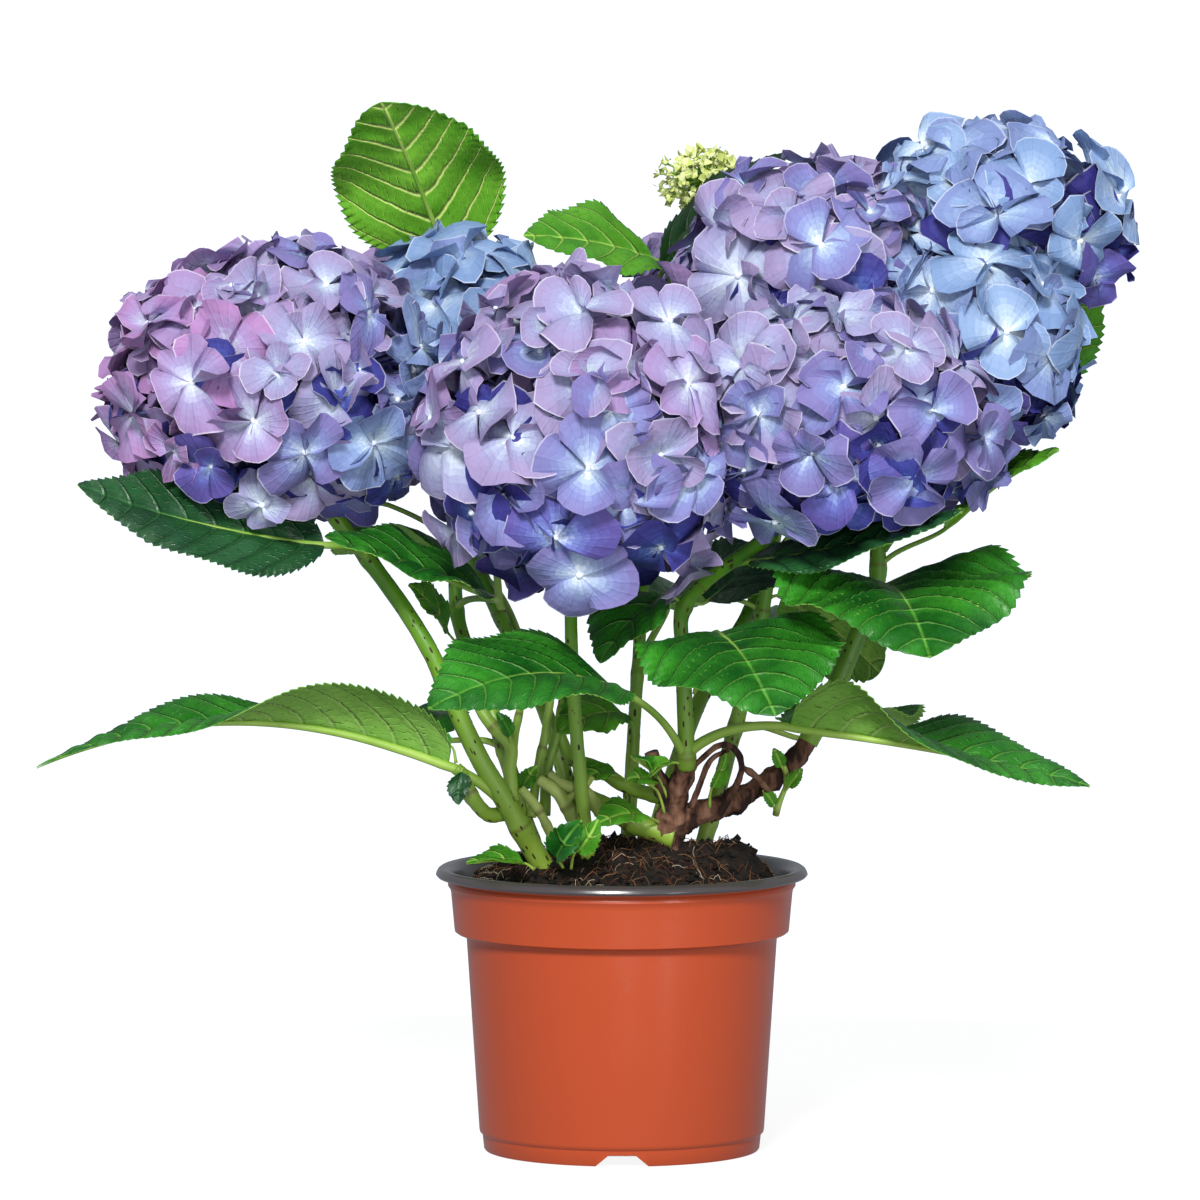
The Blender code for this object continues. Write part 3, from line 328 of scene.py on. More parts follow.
# Petal colours in sRGB, warm to cool, then dark ones of painted shade: outer, middle and inner part of a
# sepal
SHADE_PALETTES = 2
PALETTES = (
    ((168, 126, 176), (166, 143, 191), (187, 184, 213)),
    ((158, 132, 178), (160, 149, 192), (187, 191, 214)),
    ((152, 138, 178), (153, 154, 192), (184, 194, 214)),
    ((121, 113, 168), (127, 134, 188), (163, 181, 212)),
    ((117, 133, 180), (137, 158, 198), (175, 196, 218)),
    ((118, 145, 186), (144, 168, 203), (184, 204, 222)),
    # Painted shade: dark violet and blue for florets deep in a head and low on it
    ((90, 79, 150), (96, 99, 174), (130, 147, 202)),
    ((56, 52, 126), (66, 72, 152), (92, 113, 186)),
)
EYE = (222, 230, 238)
TONES = 12  # steps from the eye to the outer part
TONE_STOPS = (0.0, 0.24, 0.52, 0.9)
# How far the rim colour is lightened towards white, a painted edge highlight
RIM_HIGHLIGHT = 0.28

# Camera: where it stands, its tilt below level and its lens on a 36 mm sensor
CAMERA_PLACE = (-8.2, -4000.0, 540.8)
CAMERA_TILT = 4.76
CAMERA_LENS = 320.5

WORLD_COLOUR = (0.85, 0.9, 1, 1)
WORLD_LIGHT = 0.42
BACKGROUND = 1.25
FLOOR_GLOW = 0.9
FLOOR_RADIUS = 0.42
AIM = (0, 0, 0.2)  # what the lamps shine at, in metres
SUN_LIGHT = 3.0
SUN_PLACE = (-0.14, -1.0, 0.88)
SUN_ANGLE = 13.0
# Flat lamps: place, width, height and power
LAMPS = {
    "strip_left": ((0.12, -2.0, 0.25), 0.09, 1.5, 8),
    "strip_right": ((1.15, -1.7, 0.25), 0.1, 1.5, 9),
    "top": ((0.2, 0.3, 2.2), 1.5, 1.2, 8),
}


def mm(values):
    return np.asarray(values, float) * MM


def srgb(values):
    """A colour of 0 to 255 as the shader takes it."""
    parts = np.asarray(values, float) / 255
    return np.where(parts < 0.04, parts / 12.92, ((parts + 0.055) / 1.055) ** 2.4)


def dice(name):
    """Random numbers that are the same each run for the same name."""
    return np.random.default_rng(zlib.crc32(name.encode()))


def unit(vectors):
    return vectors / np.linalg.norm(vectors, axis=-1, keepdims=True)


def circle(count):
    """Angles spread evenly round a circle."""
    return np.arange(count) * math.tau / count


def around(side, up, turns):
    """Directions turned by angles from one direction towards another."""
    turns = np.asarray(turns)[..., None]
    return side * np.cos(turns) + up * np.sin(turns)


def hump(gap, width):
    """1 where the gap is 0, dying away to both sides."""
    return np.exp(-((gap / width) ** 2))


def between(at, shares, points):
    """Places on a path at these shares of it."""
    return np.stack([np.interp(at, shares, points[:, axis]) for axis in range(3)], -1)


def put(name, data):
    """A new object with this data, in the scene."""
    obj = bpy.data.objects.new(name, data)
    bpy.context.scene.collection.objects.link(obj)
    return obj


# ---- meshes


class Piece:
    """Patches of faces gathered for one mesh, each face with its material's number."""

    def __init__(self):
        self.points, self.faces, self.slots, self.marks = [], [], [], []
        self.count = 0

    def add(self, points, faces, slots=0, marks=0.0):
        points = np.asarray(points, float).reshape(-1, 3)
        faces = np.asarray(faces, int)
        self.points.append(points)
        self.faces.append(faces + self.count)
        self.slots.append(np.broadcast_to(slots, len(faces)).astype(int))
        self.marks.append(np.broadcast_to(marks, points.shape))
        self.count += len(points)

    def grids(self, points, slots=0, marks=0.0, closed=False):
        """A grid of rows and columns of points, or an array of many grids."""
        index = np.arange(points.size // 3).reshape(points.shape[:-1])
        if closed:
            index = np.concatenate([index, index[..., :1]], -1)
        low, high = index[..., :-1, :], index[..., 1:, :]
        quads = np.stack([low[..., :-1], low[..., 1:], high[..., 1:], high[..., :-1]], -1)
        slots = np.broadcast_to(slots, quads.shape[:-1]).ravel()
        self.add(points, quads.reshape(-1, 4), slots, np.broadcast_to(marks, points.shape).reshape(-1, 3))

    def tube(self, path, radii, sides, slot=0, caps=True):
        """A round limb along a path of points."""
        path = np.array(path)
        rings = rings_along(path, np.broadcast_to(radii, len(path)), sides)
        self.grids(closed_ends(rings, 0.02) if caps else rings, slot, closed=True)

    def knobbly(self, path, radii, sides, relief, slot=0, scars=0.0):
        """A tube whose relief is a rule from its points to shares of the radius, with marks for its scars."""
        rings = rings_along(path, radii, sides)
        rings = path[:, None] + (rings - path[:, None]) * (1 + relief(rings)[..., None])
        marks = np.zeros((len(path) + 2, 1, 3))
        marks[1:-1, 0, 0] = scars
        self.grids(closed_ends(rings, 0.05), slot, marks, closed=True)

    def mesh(self, name, materials, smooth=True):
        low, high = np.array(CAD_BOX)
        points = np.clip(np.concatenate(self.points), low + BOX_MARGIN * MM, high - BOX_MARGIN * MM)
        slots, marks = np.concatenate(self.slots), np.concatenate(self.marks)
        used = np.unique(slots)
        made = bpy.data.meshes.new(name)
        made.from_pydata(points, (), [face for faces in self.faces for face in faces.tolist()])
        for number in used:
            made.materials.append(materials[number])
        made.polygons.foreach_set("material_index", np.searchsorted(used, slots).astype(np.int32))
        made.polygons.foreach_set("use_smooth", np.full(len(slots), smooth))
        if marks.any():
            layer = made.attributes.new("mark", "FLOAT_VECTOR", "POINT")
            layer.data.foreach_set("vector", marks.astype(np.float32).ravel())
        made.validate()
        return made

    def build(self, name, materials, slot, *nodes, smooth=True):
        """The gathered faces as one piece of the object, in the place of these CAD nodes."""
        dress(put(name, self.mesh(name, materials, smooth)), slot, *nodes)


def dress(obj, slot, *nodes):
    """Say what a piece moves with and hide the CAD nodes that it replaces. The slot is not used."""
    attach(obj, "root")
    if nodes:
        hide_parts(*nodes)


def frames_along(path):
    """A side and an up direction at each point of a path, turning as little as they can."""
    ahead = unit(np.gradient(path, axis=0))
    side = np.cross(ahead[0], (0.3, 0.5, 0.8))
    sides = []
    for way in ahead:
        side = unit(side - way * side.dot(way))
        sides.append(side)
    return np.array(sides), np.cross(ahead, sides)


def rings_along(path, radii, sides):
    side, up = frames_along(path)
    return path[:, None] + around(side[:, None], up[:, None], circle(sides)) * radii[:, None, None]


def closed_ends(rings, share):
    """Rings with a nearly closed one added at each end."""
    first, last = rings[:1].mean(1, keepdims=True), rings[-1:].mean(1, keepdims=True)
    return np.concatenate([first + (rings[:1] - first) * share, rings, last + (rings[-1:] - last) * share])


def noise(points, scale, seed, octaves=3):
    """Smooth random values from -1 to 1 at each point: a few sines in odd directions."""
    rng = np.random.default_rng(seed)
    total = np.zeros(points.shape[:-1])
    weight = 0.0
    for octave in range(octaves):
        for _ in range(5):
            way = unit(rng.normal(size=3)) * 2**octave * math.tau / scale * rng.uniform(0.7, 1.4)
            total += np.sin(points @ way + rng.uniform(0, math.tau)) * 0.62**octave
        weight += 2.4 * 0.62**octave
    return np.clip(total / weight, -1, 1)


# ---- materials


class Nodes:
    """A new material whose colour, roughness and bump come from nodes."""

    def __init__(self, name, colour, roughness, specular):
        self.material = bpy.data.materials.new(name)
        self.material.use_nodes = True
        self.material.diffuse_color = (*colour, 1)
        self.tree = self.material.node_tree
        self.shader = self.tree.nodes["Principled BSDF"].inputs
        self.roughness = roughness
        self.feed(self.shader["Base Color"], colour)
        self.feed(self.shader["Roughness"], roughness)
        self.feed(self.shader["Specular IOR Level"], specular)

    def feed(self, socket, value):
        """Link another node's output to a socket, or give it a value."""
        if isinstance(value, bpy.types.NodeSocket):
            self.tree.links.new(value, socket)
        else:
            socket.default_value = (*value, 1) if socket.type == "RGBA" else value

    def node(self, kind, inputs, **settings):
        """The outputs of a new node with these settings and inputs."""
        made = self.tree.nodes.new("ShaderNode" + kind)
        for key, value in settings.items():
            setattr(made, key, value)
        for key, value in inputs.items():
            self.feed(made.inputs[key], value)
        return made.outputs

    def place(self):
        return self.node("TexCoord", {})["Object"]

    def noise(self, scale, detail=4.0, stretch=None):
        place = self.place()
        if stretch:
            place = self.node("Mapping", {"Vector": place, "Scale": stretch})["Vector"]
        return self.node("TexNoise", {"Vector": place, "Scale": scale, "Detail": detail})["Fac"]

    def ramp(self, source, stops):
        """Colours by a value: each stop is a position and a colour."""
        made = self.node("ValToRGB", {"Fac": source})["Color"]
        elements = made.node.color_ramp.elements
        for index, (position, colour) in enumerate(stops):
            stop = elements[index] if index < 2 else elements.new(position)
            stop.position = position
            stop.color = (*colour, 1)
        return made

    def mix(self, share, first, second):
        return self.node("Mix", {0: share, 6: first, 7: second}, data_type="RGBA")[2]

    def span(self, source, low, high, start=0.0, end=1.0, **settings):
        """A value from start to end turned into one from low to high."""
        ends = {"Value": source, "From Min": start, "From Max": end, "To Min": low, "To Max": high}
        return self.node("MapRange", ends, **settings)["Result"]

    def fade(self, value, width):
        """1 where the value is 0, falling smoothly to 0 at the width."""
        return self.span(value, 1.0, 0.0, 0.0, width, interpolation_type="SMOOTHSTEP")

    def math(self, operation, *values):
        return self.node("Math", dict(enumerate(values)), operation=operation)[0]

    def times(self, *values):
        return self.math("MULTIPLY", *values)

    def plus(self, *values):
        return self.math("ADD", *values)

    def to_line(self, value):
        """How far a value is from the nearest whole number."""
        return self.math("PINGPONG", value, 0.5)

    def marks(self):
        """The three values that the mesh keeps at each point."""
        return self.node("SeparateXYZ", {0: self.node("Attribute", {}, attribute_name="mark")["Vector"]})

    def colour(self, source):
        self.feed(self.shader["Base Color"], source)

    def rough(self, source, smoother, rougher):
        """Roughness that goes with a noise, from this much less than the common one to that much more."""
        spread = self.span(source, self.roughness - smoother, self.roughness + rougher, 0.3, 0.7)
        self.feed(self.shader["Roughness"], spread)

    def bump(self, *layers):
        """Relief from pairs of a height and its depth in millimetres."""
        below = {}
        for height, depth in layers:
            made = self.node("Bump", {"Height": height, "Distance": depth * MM, **below})
            below = {"Normal": made["Normal"]}
        self.feed(self.shader["Normal"], below["Normal"])


def plastic(name, colour, roughness, haze, specular):
    look = Nodes(name, colour, roughness, specular)
    look.rough(look.noise(35, 6), haze, haze)
    look.bump((look.noise(260, 3), 0.05), (look.noise(22, 2), 0.25))
    return look.material


def plain(name, colour, roughness, specular=0.3):
    look = Nodes(name, colour, roughness, specular)
    grain = look.noise(500)
    look.rough(grain, 0.1, 0.1)
    look.bump((grain, 0.15))
    return look.material


def lumpy(name, colour, roughness, specular, lumps, depth, grain, stops):
    look = Nodes(name, colour, roughness, specular)
    height = look.noise(*lumps)
    look.colour(look.ramp(height, stops))
    look.bump((height, depth), (look.noise(grain), 0.3))
    return look.material


def petal(name, colour, roughness=0.55):
    """Petal skin. Its marks are the share of the way out and the place across."""
    look = Nodes(name, colour, roughness, 0.25)
    outward, across, _ = look.marks()
    fan = look.plus(look.times(across, 4.5), look.span(look.noise(240, 2), -0.12, 0.12))
    vein = look.times(look.fade(look.to_line(fan), 0.2), look.span(outward, 0.2, 1.0, 0.1, 0.5))
    grain = look.noise(900, 3)
    look.rough(grain, 0.08, 0.12)
    look.bump((vein, -0.12), (look.noise(130), 1.3), (grain, 0.07))
    return look.material


def leaf_skin(name, dark, light, vein, roughness, specular, raised, shown):
    """Leaf surface. Its marks are the side veins' count so far, millimetres from the midrib and share out."""
    look = Nodes(name, light, roughness, specular)
    count, from_rib, outward = look.marks()
    count = look.plus(count, look.span(look.noise(130, 2), -0.09, 0.09))
    nearest = look.to_line(count)
    side_vein = look.fade(nearest, look.span(outward, 0.15 if raised else 0.12, 0.05))
    midrib = look.fade(from_rib, look.span(outward, 1.0, 0.6))
    rungs = look.plus(look.times(look.math("ROUND", count), 0.37), look.math("DIVIDE", from_rib, 2.7))
    rung = look.fade(look.to_line(look.plus(rungs, look.span(look.noise(300, 2), -0.5, 0.5))), 0.12)
    fine = look.noise(520)
    body = look.ramp(look.noise(38, 5), ((0.34, dark), (0.66, light)))
    specks = look.span(fine, 0.0, 0.08 if raised else 0.3, 0.5, 0.75)
    body = look.mix(specks, body, tuple(part * 0.6 for part in dark))
    # Painted shade: on upper sides the blade darkens into the grooves beside the sunken veins
    body = look.mix(look.times(look.fade(nearest, 0.24), 0.0 if raised else 0.55), body, dark)
    body = look.mix(look.times(rung, 0.12 * shown), body, vein)
    body = look.mix(look.times(side_vein, shown), body, vein)
    look.colour(look.mix(look.times(midrib, 0.2 + 0.8 * shown), body, tuple(part * 1.15 for part in vein)))
    look.rough(fine, 0.06, 0.12)
    sign = 1 if raised else -1
    quilt = look.times(look.fade(nearest, 0.5), sign)
    ridges = look.times(look.plus(look.times(rung, 0.25), side_vein), sign)
    look.bump((quilt, 1.1), (ridges, 0.6), (look.noise(190), 0.5), (fine, 0.12))
    return look.material


def stem_skin(name, dark, light, roughness):
    """Stem surface, yellower near the compost. Its first mark is how much of a leaf scar it is."""
    look = Nodes(name, light, roughness, 0.5)
    body = look.ramp(look.noise(60, 5, (1, 1, 0.35)), ((0.35, dark), (0.65, light)))
    height = look.node("SeparateXYZ", {0: look.place()})[2]
    body = look.mix(look.span(height, 0.75, 0.0, 0.1, 0.2), body, OLD_STEM)
    look.colour(look.mix(look.marks()[0], body, SCAR))
    look.bump((look.noise(600, 3, (1, 1, 0.15)), 0.12), (look.noise(150, 3), 0.1))
    return look.material


def make_materials():
    """Every material by name. Each petal palette has one for each tone and one for the rim's painted
    highlight.
    """
    made = {}
    rules = {plastic: PLASTICS, plain: PLAINS, lumpy: LUMPY, stem_skin: STEMS, leaf_skin: LEAF_SKINS}
    for rule, rows in rules.items():
        for name, row in rows.items():
            made[name] = rule(name, *row)
    shares = (np.arange(TONES) + 0.5) / TONES
    for number, palette in enumerate(PALETTES):
        colours = srgb((EYE, *palette[::-1]))
        for tone, colour in enumerate(between(shares, TONE_STOPS, colours).tolist()):
            made[f"{number}_{tone}"] = petal(f"petal_{number}_{tone}", colour)
        # The rim: the outer tone lightened towards white, a painted highlight
        pale = (colours[-1] + (1 - colours[-1]) * RIM_HIGHLIGHT).tolist()
        made[f"{number}_rim"] = petal(f"petal_{number}_rim", pale, 0.45)
    return made


# ---- pot and compost


def corners(radius, height, *offsets):
    """Points of the pot's half section, each a little off the same place."""
    return [(radius + out, height + up) for out, up in offsets]


def pot_profile():
    """Half section of the pot: up its inside and round the lip, then down its outside."""
    inside = [
        (0, FLOOR),
        *corners(BODY_BOTTOM - WALL, FLOOR, (-2, 0), (0, 2)),
        (BODY_TOP - WALL, COLLAR_HEIGHT + 1),
        (COLLAR_BOTTOM - WALL, COLLAR_HEIGHT + 3),
        *corners(COLLAR_TOP, POT_HEIGHT, (-WALL, -3.2), (-0.6, -1.5), (1.2, -0.5)),
        *corners(LIP_RADIUS, POT_HEIGHT, (-2.6, 0), (-1.7, -0.15), (-0.8, -0.8), (-0.2, -1.9), (0, -2.7)),
        *corners(LIP_RADIUS, LIP_UNDER, (-0.7, 0), (-1.6, -0.1)),
        (COLLAR_TOP + 1.2, LIP_UNDER + 0.1),
    ]
    outside = [
        *corners(COLLAR_TOP, LIP_UNDER, (0.5, -0.4), (0.3, -1.2), (0.9, -2.4), (1, -3.3)),
        *corners(COLLAR_TOP, LIP_UNDER, (0.1, -4.6), (-0.2, -6)),
        *corners(COLLAR_BOTTOM, COLLAR_HEIGHT, (0.05, 1.6), (-0.1, 0.6), (-0.9, 0)),
        *corners(BODY_TOP, COLLAR_HEIGHT, (0.9, -0.5), (0.1, -1.4), (-0.1, -3)),
        *corners(BODY_BOTTOM, FOOT_HEIGHT, (0.1, 1.6), (-0.1, 0.6), (-0.7, 0)),
        *corners(FOOT_RADIUS, FOOT_HEIGHT, (0.1, -0.4), (0, -1.4)),
        *corners(FOOT_RADIUS, 0, (-0.45, 0.8), (-0.9, 0.15), (-1.6, 0)),
        (0, 0),
    ]
    return inside, outside


def build_pot(looks):
    """The pot, turned from its half section, with the drain channels cut out."""
    inside, outside = pot_profile()
    profile = mm(inside + outside)
    rings = around(X, Y, circle(POT_STEPS) - math.pi / 2) * profile[:, :1, None] + UP * profile[:, 1:, None]
    on_outside = np.arange(len(profile) - 1)[:, None] >= len(inside) - 1
    piece = Piece()
    piece.grids(rings[::-1], on_outside[::-1], closed=True)
    pot = put("pot_turned", piece.mesh("pot_turned", [looks["pot_inside"], looks["pot_outside"]]))
    weld(pot.data)
    cutter = channel_cutters()
    pot.modifiers.new("channels", "BOOLEAN").object = cutter
    mesh = bpy.data.meshes.new_from_object(pot.evaluated_get(bpy.context.evaluated_depsgraph_get()))
    mesh.name = pot.name
    pot.modifiers.clear()
    pot.data = mesh
    mesh.set_sharp_from_angle(angle=math.radians(SHARP_ANGLE))
    bpy.data.objects.remove(cutter)
    dress(pot, "pot_terracotta", "pot")


def weld(mesh):
    """Join the points that lie on each other, so that the surface is closed."""
    made = bmesh.new()
    made.from_mesh(mesh)
    bmesh.ops.remove_doubles(made, verts=made.verts, dist=1e-6)
    bmesh.ops.dissolve_degenerate(made, edges=made.edges, dist=1e-7)
    bmesh.ops.recalc_face_normals(made, faces=made.faces)
    made.to_mesh(mesh)
    made.free()


def channel_cutters():
    """One mesh of wedge-topped bars that cut the drain channels."""
    foot, roof = CHANNEL_FOOT / 2, CHANNEL_ROOF / 2
    section = mm([(-foot, -1), (foot, -1), (roof, CHANNEL_HEIGHT), (-roof, CHANNEL_HEIGHT)])
    sides = [(side, (side + 1) % 4, (side + 1) % 4 + 4, side + 4) for side in range(4)]
    piece = Piece()
    for angle in circle(CHANNEL_COUNT):
        across, out = around(X, Y, angle), around(-Y, X, angle)
        flat = section[:, :1] * across + section[:, 1:] * UP
        ends = [out * along * MM + flat for along in (CHANNEL_START, LIP_RADIUS)]
        piece.add(np.concatenate(ends), [(0, 3, 2, 1), (4, 5, 6, 7), *sides])
    cutter = put("channels", piece.mesh("channels", [bpy.data.materials.new("cut")]))
    weld(cutter.data)
    return cutter


def mound(x, y, middle_x, middle_y, spread, height):
    return height * np.exp(-((x - middle_x) ** 2 + (y - middle_y) ** 2) / (2 * spread**2))


def soil_height(x, y):
    """Height of the compost in millimetres. The mounds die away at the wall."""
    fade = np.clip(1 - (np.hypot(x, y) / (COLLAR_BOTTOM - WALL)) ** 6, 0, None)
    return SOIL_SKIRT + sum(mound(x, y, *row) for row in SOIL_MOUNDS) * fade


def soil_surface(x, y):
    """The compost's surface with its clods, in metres."""
    place = np.stack([x, y, np.zeros_like(x)], -1) * MM
    clods = noise(place, 0.016, 5, 4) * 1.6 + np.abs(noise(place, 0.006, 6, 3)) * 1.5
    edge = np.clip((SOIL_REACH - 1 - np.hypot(x, y)) / 8, 0, 1)
    return np.stack([x, y, soil_height(x, y) + (clods - 0.6 + mound(x, y, *LITTER)) * edge], -1) * MM


def strewn(rng, reach):
    """A random place on the compost, as x and y."""
    angle = rng.uniform(0, math.tau)
    return reach * math.sqrt(rng.uniform(0, 1)) * np.array((math.cos(angle), math.sin(angle)))


def build_compost(looks):
    """The compost's surface with its crumbs, and the fibres on it."""
    rng = dice("compost")
    radii = np.concatenate([[0.3], np.linspace(2, SOIL_REACH - 0.7, SOIL_RINGS)])[:, None]
    turns = circle(SOIL_SPOKES)
    surface = soil_surface(radii * np.cos(turns), radii * np.sin(turns))
    piece = Piece()
    piece.grids(np.concatenate([surface, surface[-1:] - UP * 4 * MM]), closed=True)
    for _ in range(CRUMBS):
        spot = soil_surface(*strewn(rng, SOIL_REACH - 3))
        size = rng.uniform(0.5, 2.0) * MM
        piece.add(*crumb(rng, spot + UP * size * 0.35, size))
    piece.build("compost_surface", [looks["compost"]], "compost", "compost", smooth=False)
    threads = Piece()
    steps = np.linspace(0, 1, 7)
    for _ in range(FIBRES):
        x, y = strewn(rng, SOIL_REACH - 4)
        heading = rng.uniform(0, math.tau)
        length = rng.uniform(4, 15)
        ways = heading + rng.uniform(-1.6, 1.6) * steps
        x = x + np.cumsum(np.cos(ways)) * length / len(steps)
        y = y + np.cumsum(np.sin(ways)) * length / len(steps)
        if np.hypot(x, y).max() > SOIL_REACH - 1:
            continue
        path = soil_surface(x, y)
        path[:, 2] += (np.sin(steps * math.pi) * rng.uniform(0.2, 2.4) - 0.1) * MM
        radii = rng.uniform(0.09, 0.24) * MM * (1 - 0.5 * steps)
        threads.tube(path, radii, 4, rng.choice(3, p=(0.4, 0.4, 0.2)), caps=False)
    fibres = [looks["fibre_" + colour] for colour in ("tan", "rust", "pale")]
    threads.build("compost_fibres", fibres, "compost")


def crumb(rng, middle, size):
    """A small uneven lump: an octahedron whose corners are pushed about."""
    ends = np.stack([np.eye(3), -np.eye(3)], 1).reshape(6, 3)
    ends = ends * rng.uniform(0.5, 1.1, (6, 1)) + rng.uniform(-0.3, 0.3, (6, 3))
    faces = [(0, 2, 4), (2, 1, 4), (1, 3, 4), (3, 0, 4), (2, 0, 5), (1, 2, 5), (3, 1, 5), (0, 3, 5)]
    return middle + ends * size, faces


# ---- limbs


def smooth_path(via, step):
    """Points about a step apart along a smooth curve through the via points."""
    ends = np.concatenate([[2 * via[0] - via[1]], via, [2 * via[-1] - via[-2]]])
    t = (np.arange(12) / 12)[:, None]
    dense = []
    for before, start, end, after in zip(ends, ends[1:], ends[2:], ends[3:]):
        bend = (2 * before - 5 * start + 4 * end - after) * t**2
        swing = (3 * start - before - 3 * end + after) * t**3
        dense.append((2 * start + (end - before) * t + bend + swing) / 2)
    dense = np.concatenate([*dense, via[-1:]])
    lengths = np.concatenate([[0], np.cumsum(np.linalg.norm(np.diff(dense, axis=0), axis=1))])
    return between(np.linspace(0, lengths[-1], max(3, round(lengths[-1] / step))), lengths, dense)


class Limb:
    """A limb's middle line and radius, from foot to tip."""

    def __init__(self, name):
        stands_on, via, foot_radius, tip_radius = LIMBS[name]
        if stands_on == "soil":
            via = ((*via[0], float(soil_height(*via[0])) - SOIL_FOOT_DEPTH), *via[1:])
        self.path = smooth_path(mm(via), 1.2 * MM)
        self.shares = np.linspace(0, 1, len(self.path))
        self.length = np.linalg.norm(np.diff(self.path, axis=0), axis=1).sum()
        self.radii = (tip_radius + (foot_radius - tip_radius) * (1 - self.shares) ** 2) * MM

    def at(self, share):
        return between(share, self.shares, self.path)


def joint_shares(name, limb):
    """Where a cane's joints are: at its leaves, and evenly in between."""
    joints = [row[1] for row in LEAVES.values() if row[0] == name]
    for share in np.linspace(0.1, 0.95, max(2, round(limb.length / (JOINT_SPACING * MM)))):
        if all(abs(share - other) > 0.09 for other in joints):
            joints.append(share)
    return joints


def build_cane(name, limb, looks):
    """A green cane with swollen joints, leaf scars and dark specks."""
    radii = limb.radii.copy()
    scars = np.zeros(len(radii))
    for share in joint_shares(name, limb):
        gap = (limb.shares - share) * limb.length / MM
        radii *= 1 + JOINT_SWELL[0] * hump(gap, JOINT_SWELL[1])
        scars = np.maximum(scars, hump(gap - SCAR_PLACE[0], SCAR_PLACE[1]) * 0.55)
    piece = Piece()
    piece.knobbly(limb.path, radii, 16, lambda rings: noise(rings, 0.012, 3) * 0.035, 0, scars)
    add_specks(piece, dice(name), limb.path, radii, int(limb.length / MM * SPECKS), 4, 1)
    piece.build(name + "_stem", [looks["cane"], looks["speck"]], "green_cane", name)


def add_specks(piece, rng, path, radii, count, first, slot):
    """Small dark ovals that lie on a limb, longer along it."""
    side, up = frames_along(path)
    faces = [(corner, (corner + 1) % 6, 6) for corner in range(6)]
    for _ in range(count):
        index = rng.integers(first, len(path) - 2)
        out = around(side[index], up[index], rng.uniform(0, math.tau))
        ahead = unit(path[index + 1] - path[index - 1])
        spot = path[index] + out * radii[index]
        long, wide = rng.uniform(*SPECK_LONG) * MM, rng.uniform(*SPECK_WIDE) * MM
        rim = spot + around(ahead * long, np.cross(out, ahead) * wide, circle(6)) - out * 0.05 * MM
        piece.add([*rim, spot + out * 0.09 * MM], faces, slot)


def build_old_wood(name, limb, looks):
    """Old wood under flaking bark, with knobs where shoots have been."""
    rng = dice(name)
    path = limb.path + noise(limb.path, 0.03, 11)[:, None] * mm((0, 0.8, 0.6))
    radii = limb.radii * 0.9
    for _ in range(max(2, int(limb.length / (BARK_KNOBS * MM)))):
        gap = limb.shares * limb.length - rng.uniform(0, limb.length)
        radii *= 1 + rng.uniform(0.05, 0.35) * hump(gap, rng.uniform(1.5, 3.5) * MM)
    finer = np.linspace(0, 1, len(path) * 3)

    def relief(rings):
        return noise(rings * (1, 1, 0.4), 0.004, 21, 4) * 0.13 + noise(rings, 0.012, 22, 2) * 0.14 - 0.08

    piece = Piece()
    piece.knobbly(between(finer, limb.shares, path), np.interp(finer, limb.shares, radii), 40, relief)
    piece.build(name + "_bark", [looks["bark"]], "old_wood", name)


def build_shoots(rng, looks):
    """Thin shoots round the feet of the canes."""
    names = ("cane", "petiole", "bark", "speck", "pale")
    piece = Piece()
    for look, first, last, via in SHOOTS:
        path = smooth_path(mm(via), 1.0 * MM)
        gap = np.arange(len(path)) - rng.uniform(0.3, 0.7) * len(path)
        radii = np.linspace(first, last, len(path)) * MM * (1 + 0.16 * hump(gap, 2.5))
        scars = hump(gap - 1.5, 0.8) * 0.7 * (look != "bark")
        slot, lumps = names.index(look), SHOOT_LUMPS[look]
        piece.knobbly(path, radii, 14, lambda rings: noise(rings, 0.009, 41) * lumps, slot, scars)
        add_specks(piece, rng, path, radii, int(len(path) * 0.4) if look == "cane" else 0, 3, 3)
    piece.build("thin_shoots", [looks[name] for name in names], "green_cane")


# ---- leaves


def blade_width(share, bulge, taper):
    """Half-width of a leaf at a share of its length, 1 at the widest."""
    widest = bulge / (bulge + taper)
    return share**bulge * (1 - share) ** taper / (widest**bulge * (1 - widest) ** taper)


def turned(vectors, axes, angles):
    """Vectors turned about unit axes by angles, one for each."""
    cos, sin = np.cos(angles)[:, None], np.sin(angles)[:, None]
    along = (vectors * axes).sum(-1, keepdims=True)
    return vectors * cos + np.cross(axes, vectors) * sin + axes * along * (1 - cos)


def leaf_spine(row, middle, shares):
    """Points, sides and upward directions of a leaf's midrib, and its petiole's path from a limb's middle."""
    base, tip, _, facing, _, rise, turn = row
    base, tip, facing = mm(base), mm(tip), np.array(facing, float)
    along = unit(tip - base)
    normal = unit(np.cross(unit(np.cross(along, facing)), along))
    crown = (base + tip) / 2 + normal * 2 * rise * MM
    t = shares[:, None]
    spots = (1 - t) ** 2 * base + 2 * (1 - t) * t * crown + t**2 * tip
    headings = unit((1 - t) * (crown - base) + t * (tip - crown))
    done = np.clip((shares - TURN_SPAN[0]) / (TURN_SPAN[1] - TURN_SPAN[0]), 0, 1)
    angles = math.radians(turn) * done**2 * (3 - 2 * done)
    sides = unit(np.cross(headings, turned(np.broadcast_to(facing, headings.shape), headings, angles)))
    reach = np.linalg.norm(base - middle)
    leaving = unit(unit(base - middle) * PETIOLE_OUTWARD + UP * (1 - PETIOLE_OUTWARD))
    first = middle + leaving * reach * PETIOLE_EASE
    second = base - unit(crown - base) * reach * PETIOLE_EASE
    s = np.linspace(0, 1, max(6, int(reach / (2 * MM))))[:, None]
    stalk = (1 - s) ** 3 * middle + 3 * (1 - s) ** 2 * s * first + 3 * (1 - s) * s**2 * second + s**3 * base
    return spots, sides, np.cross(sides, headings), stalk


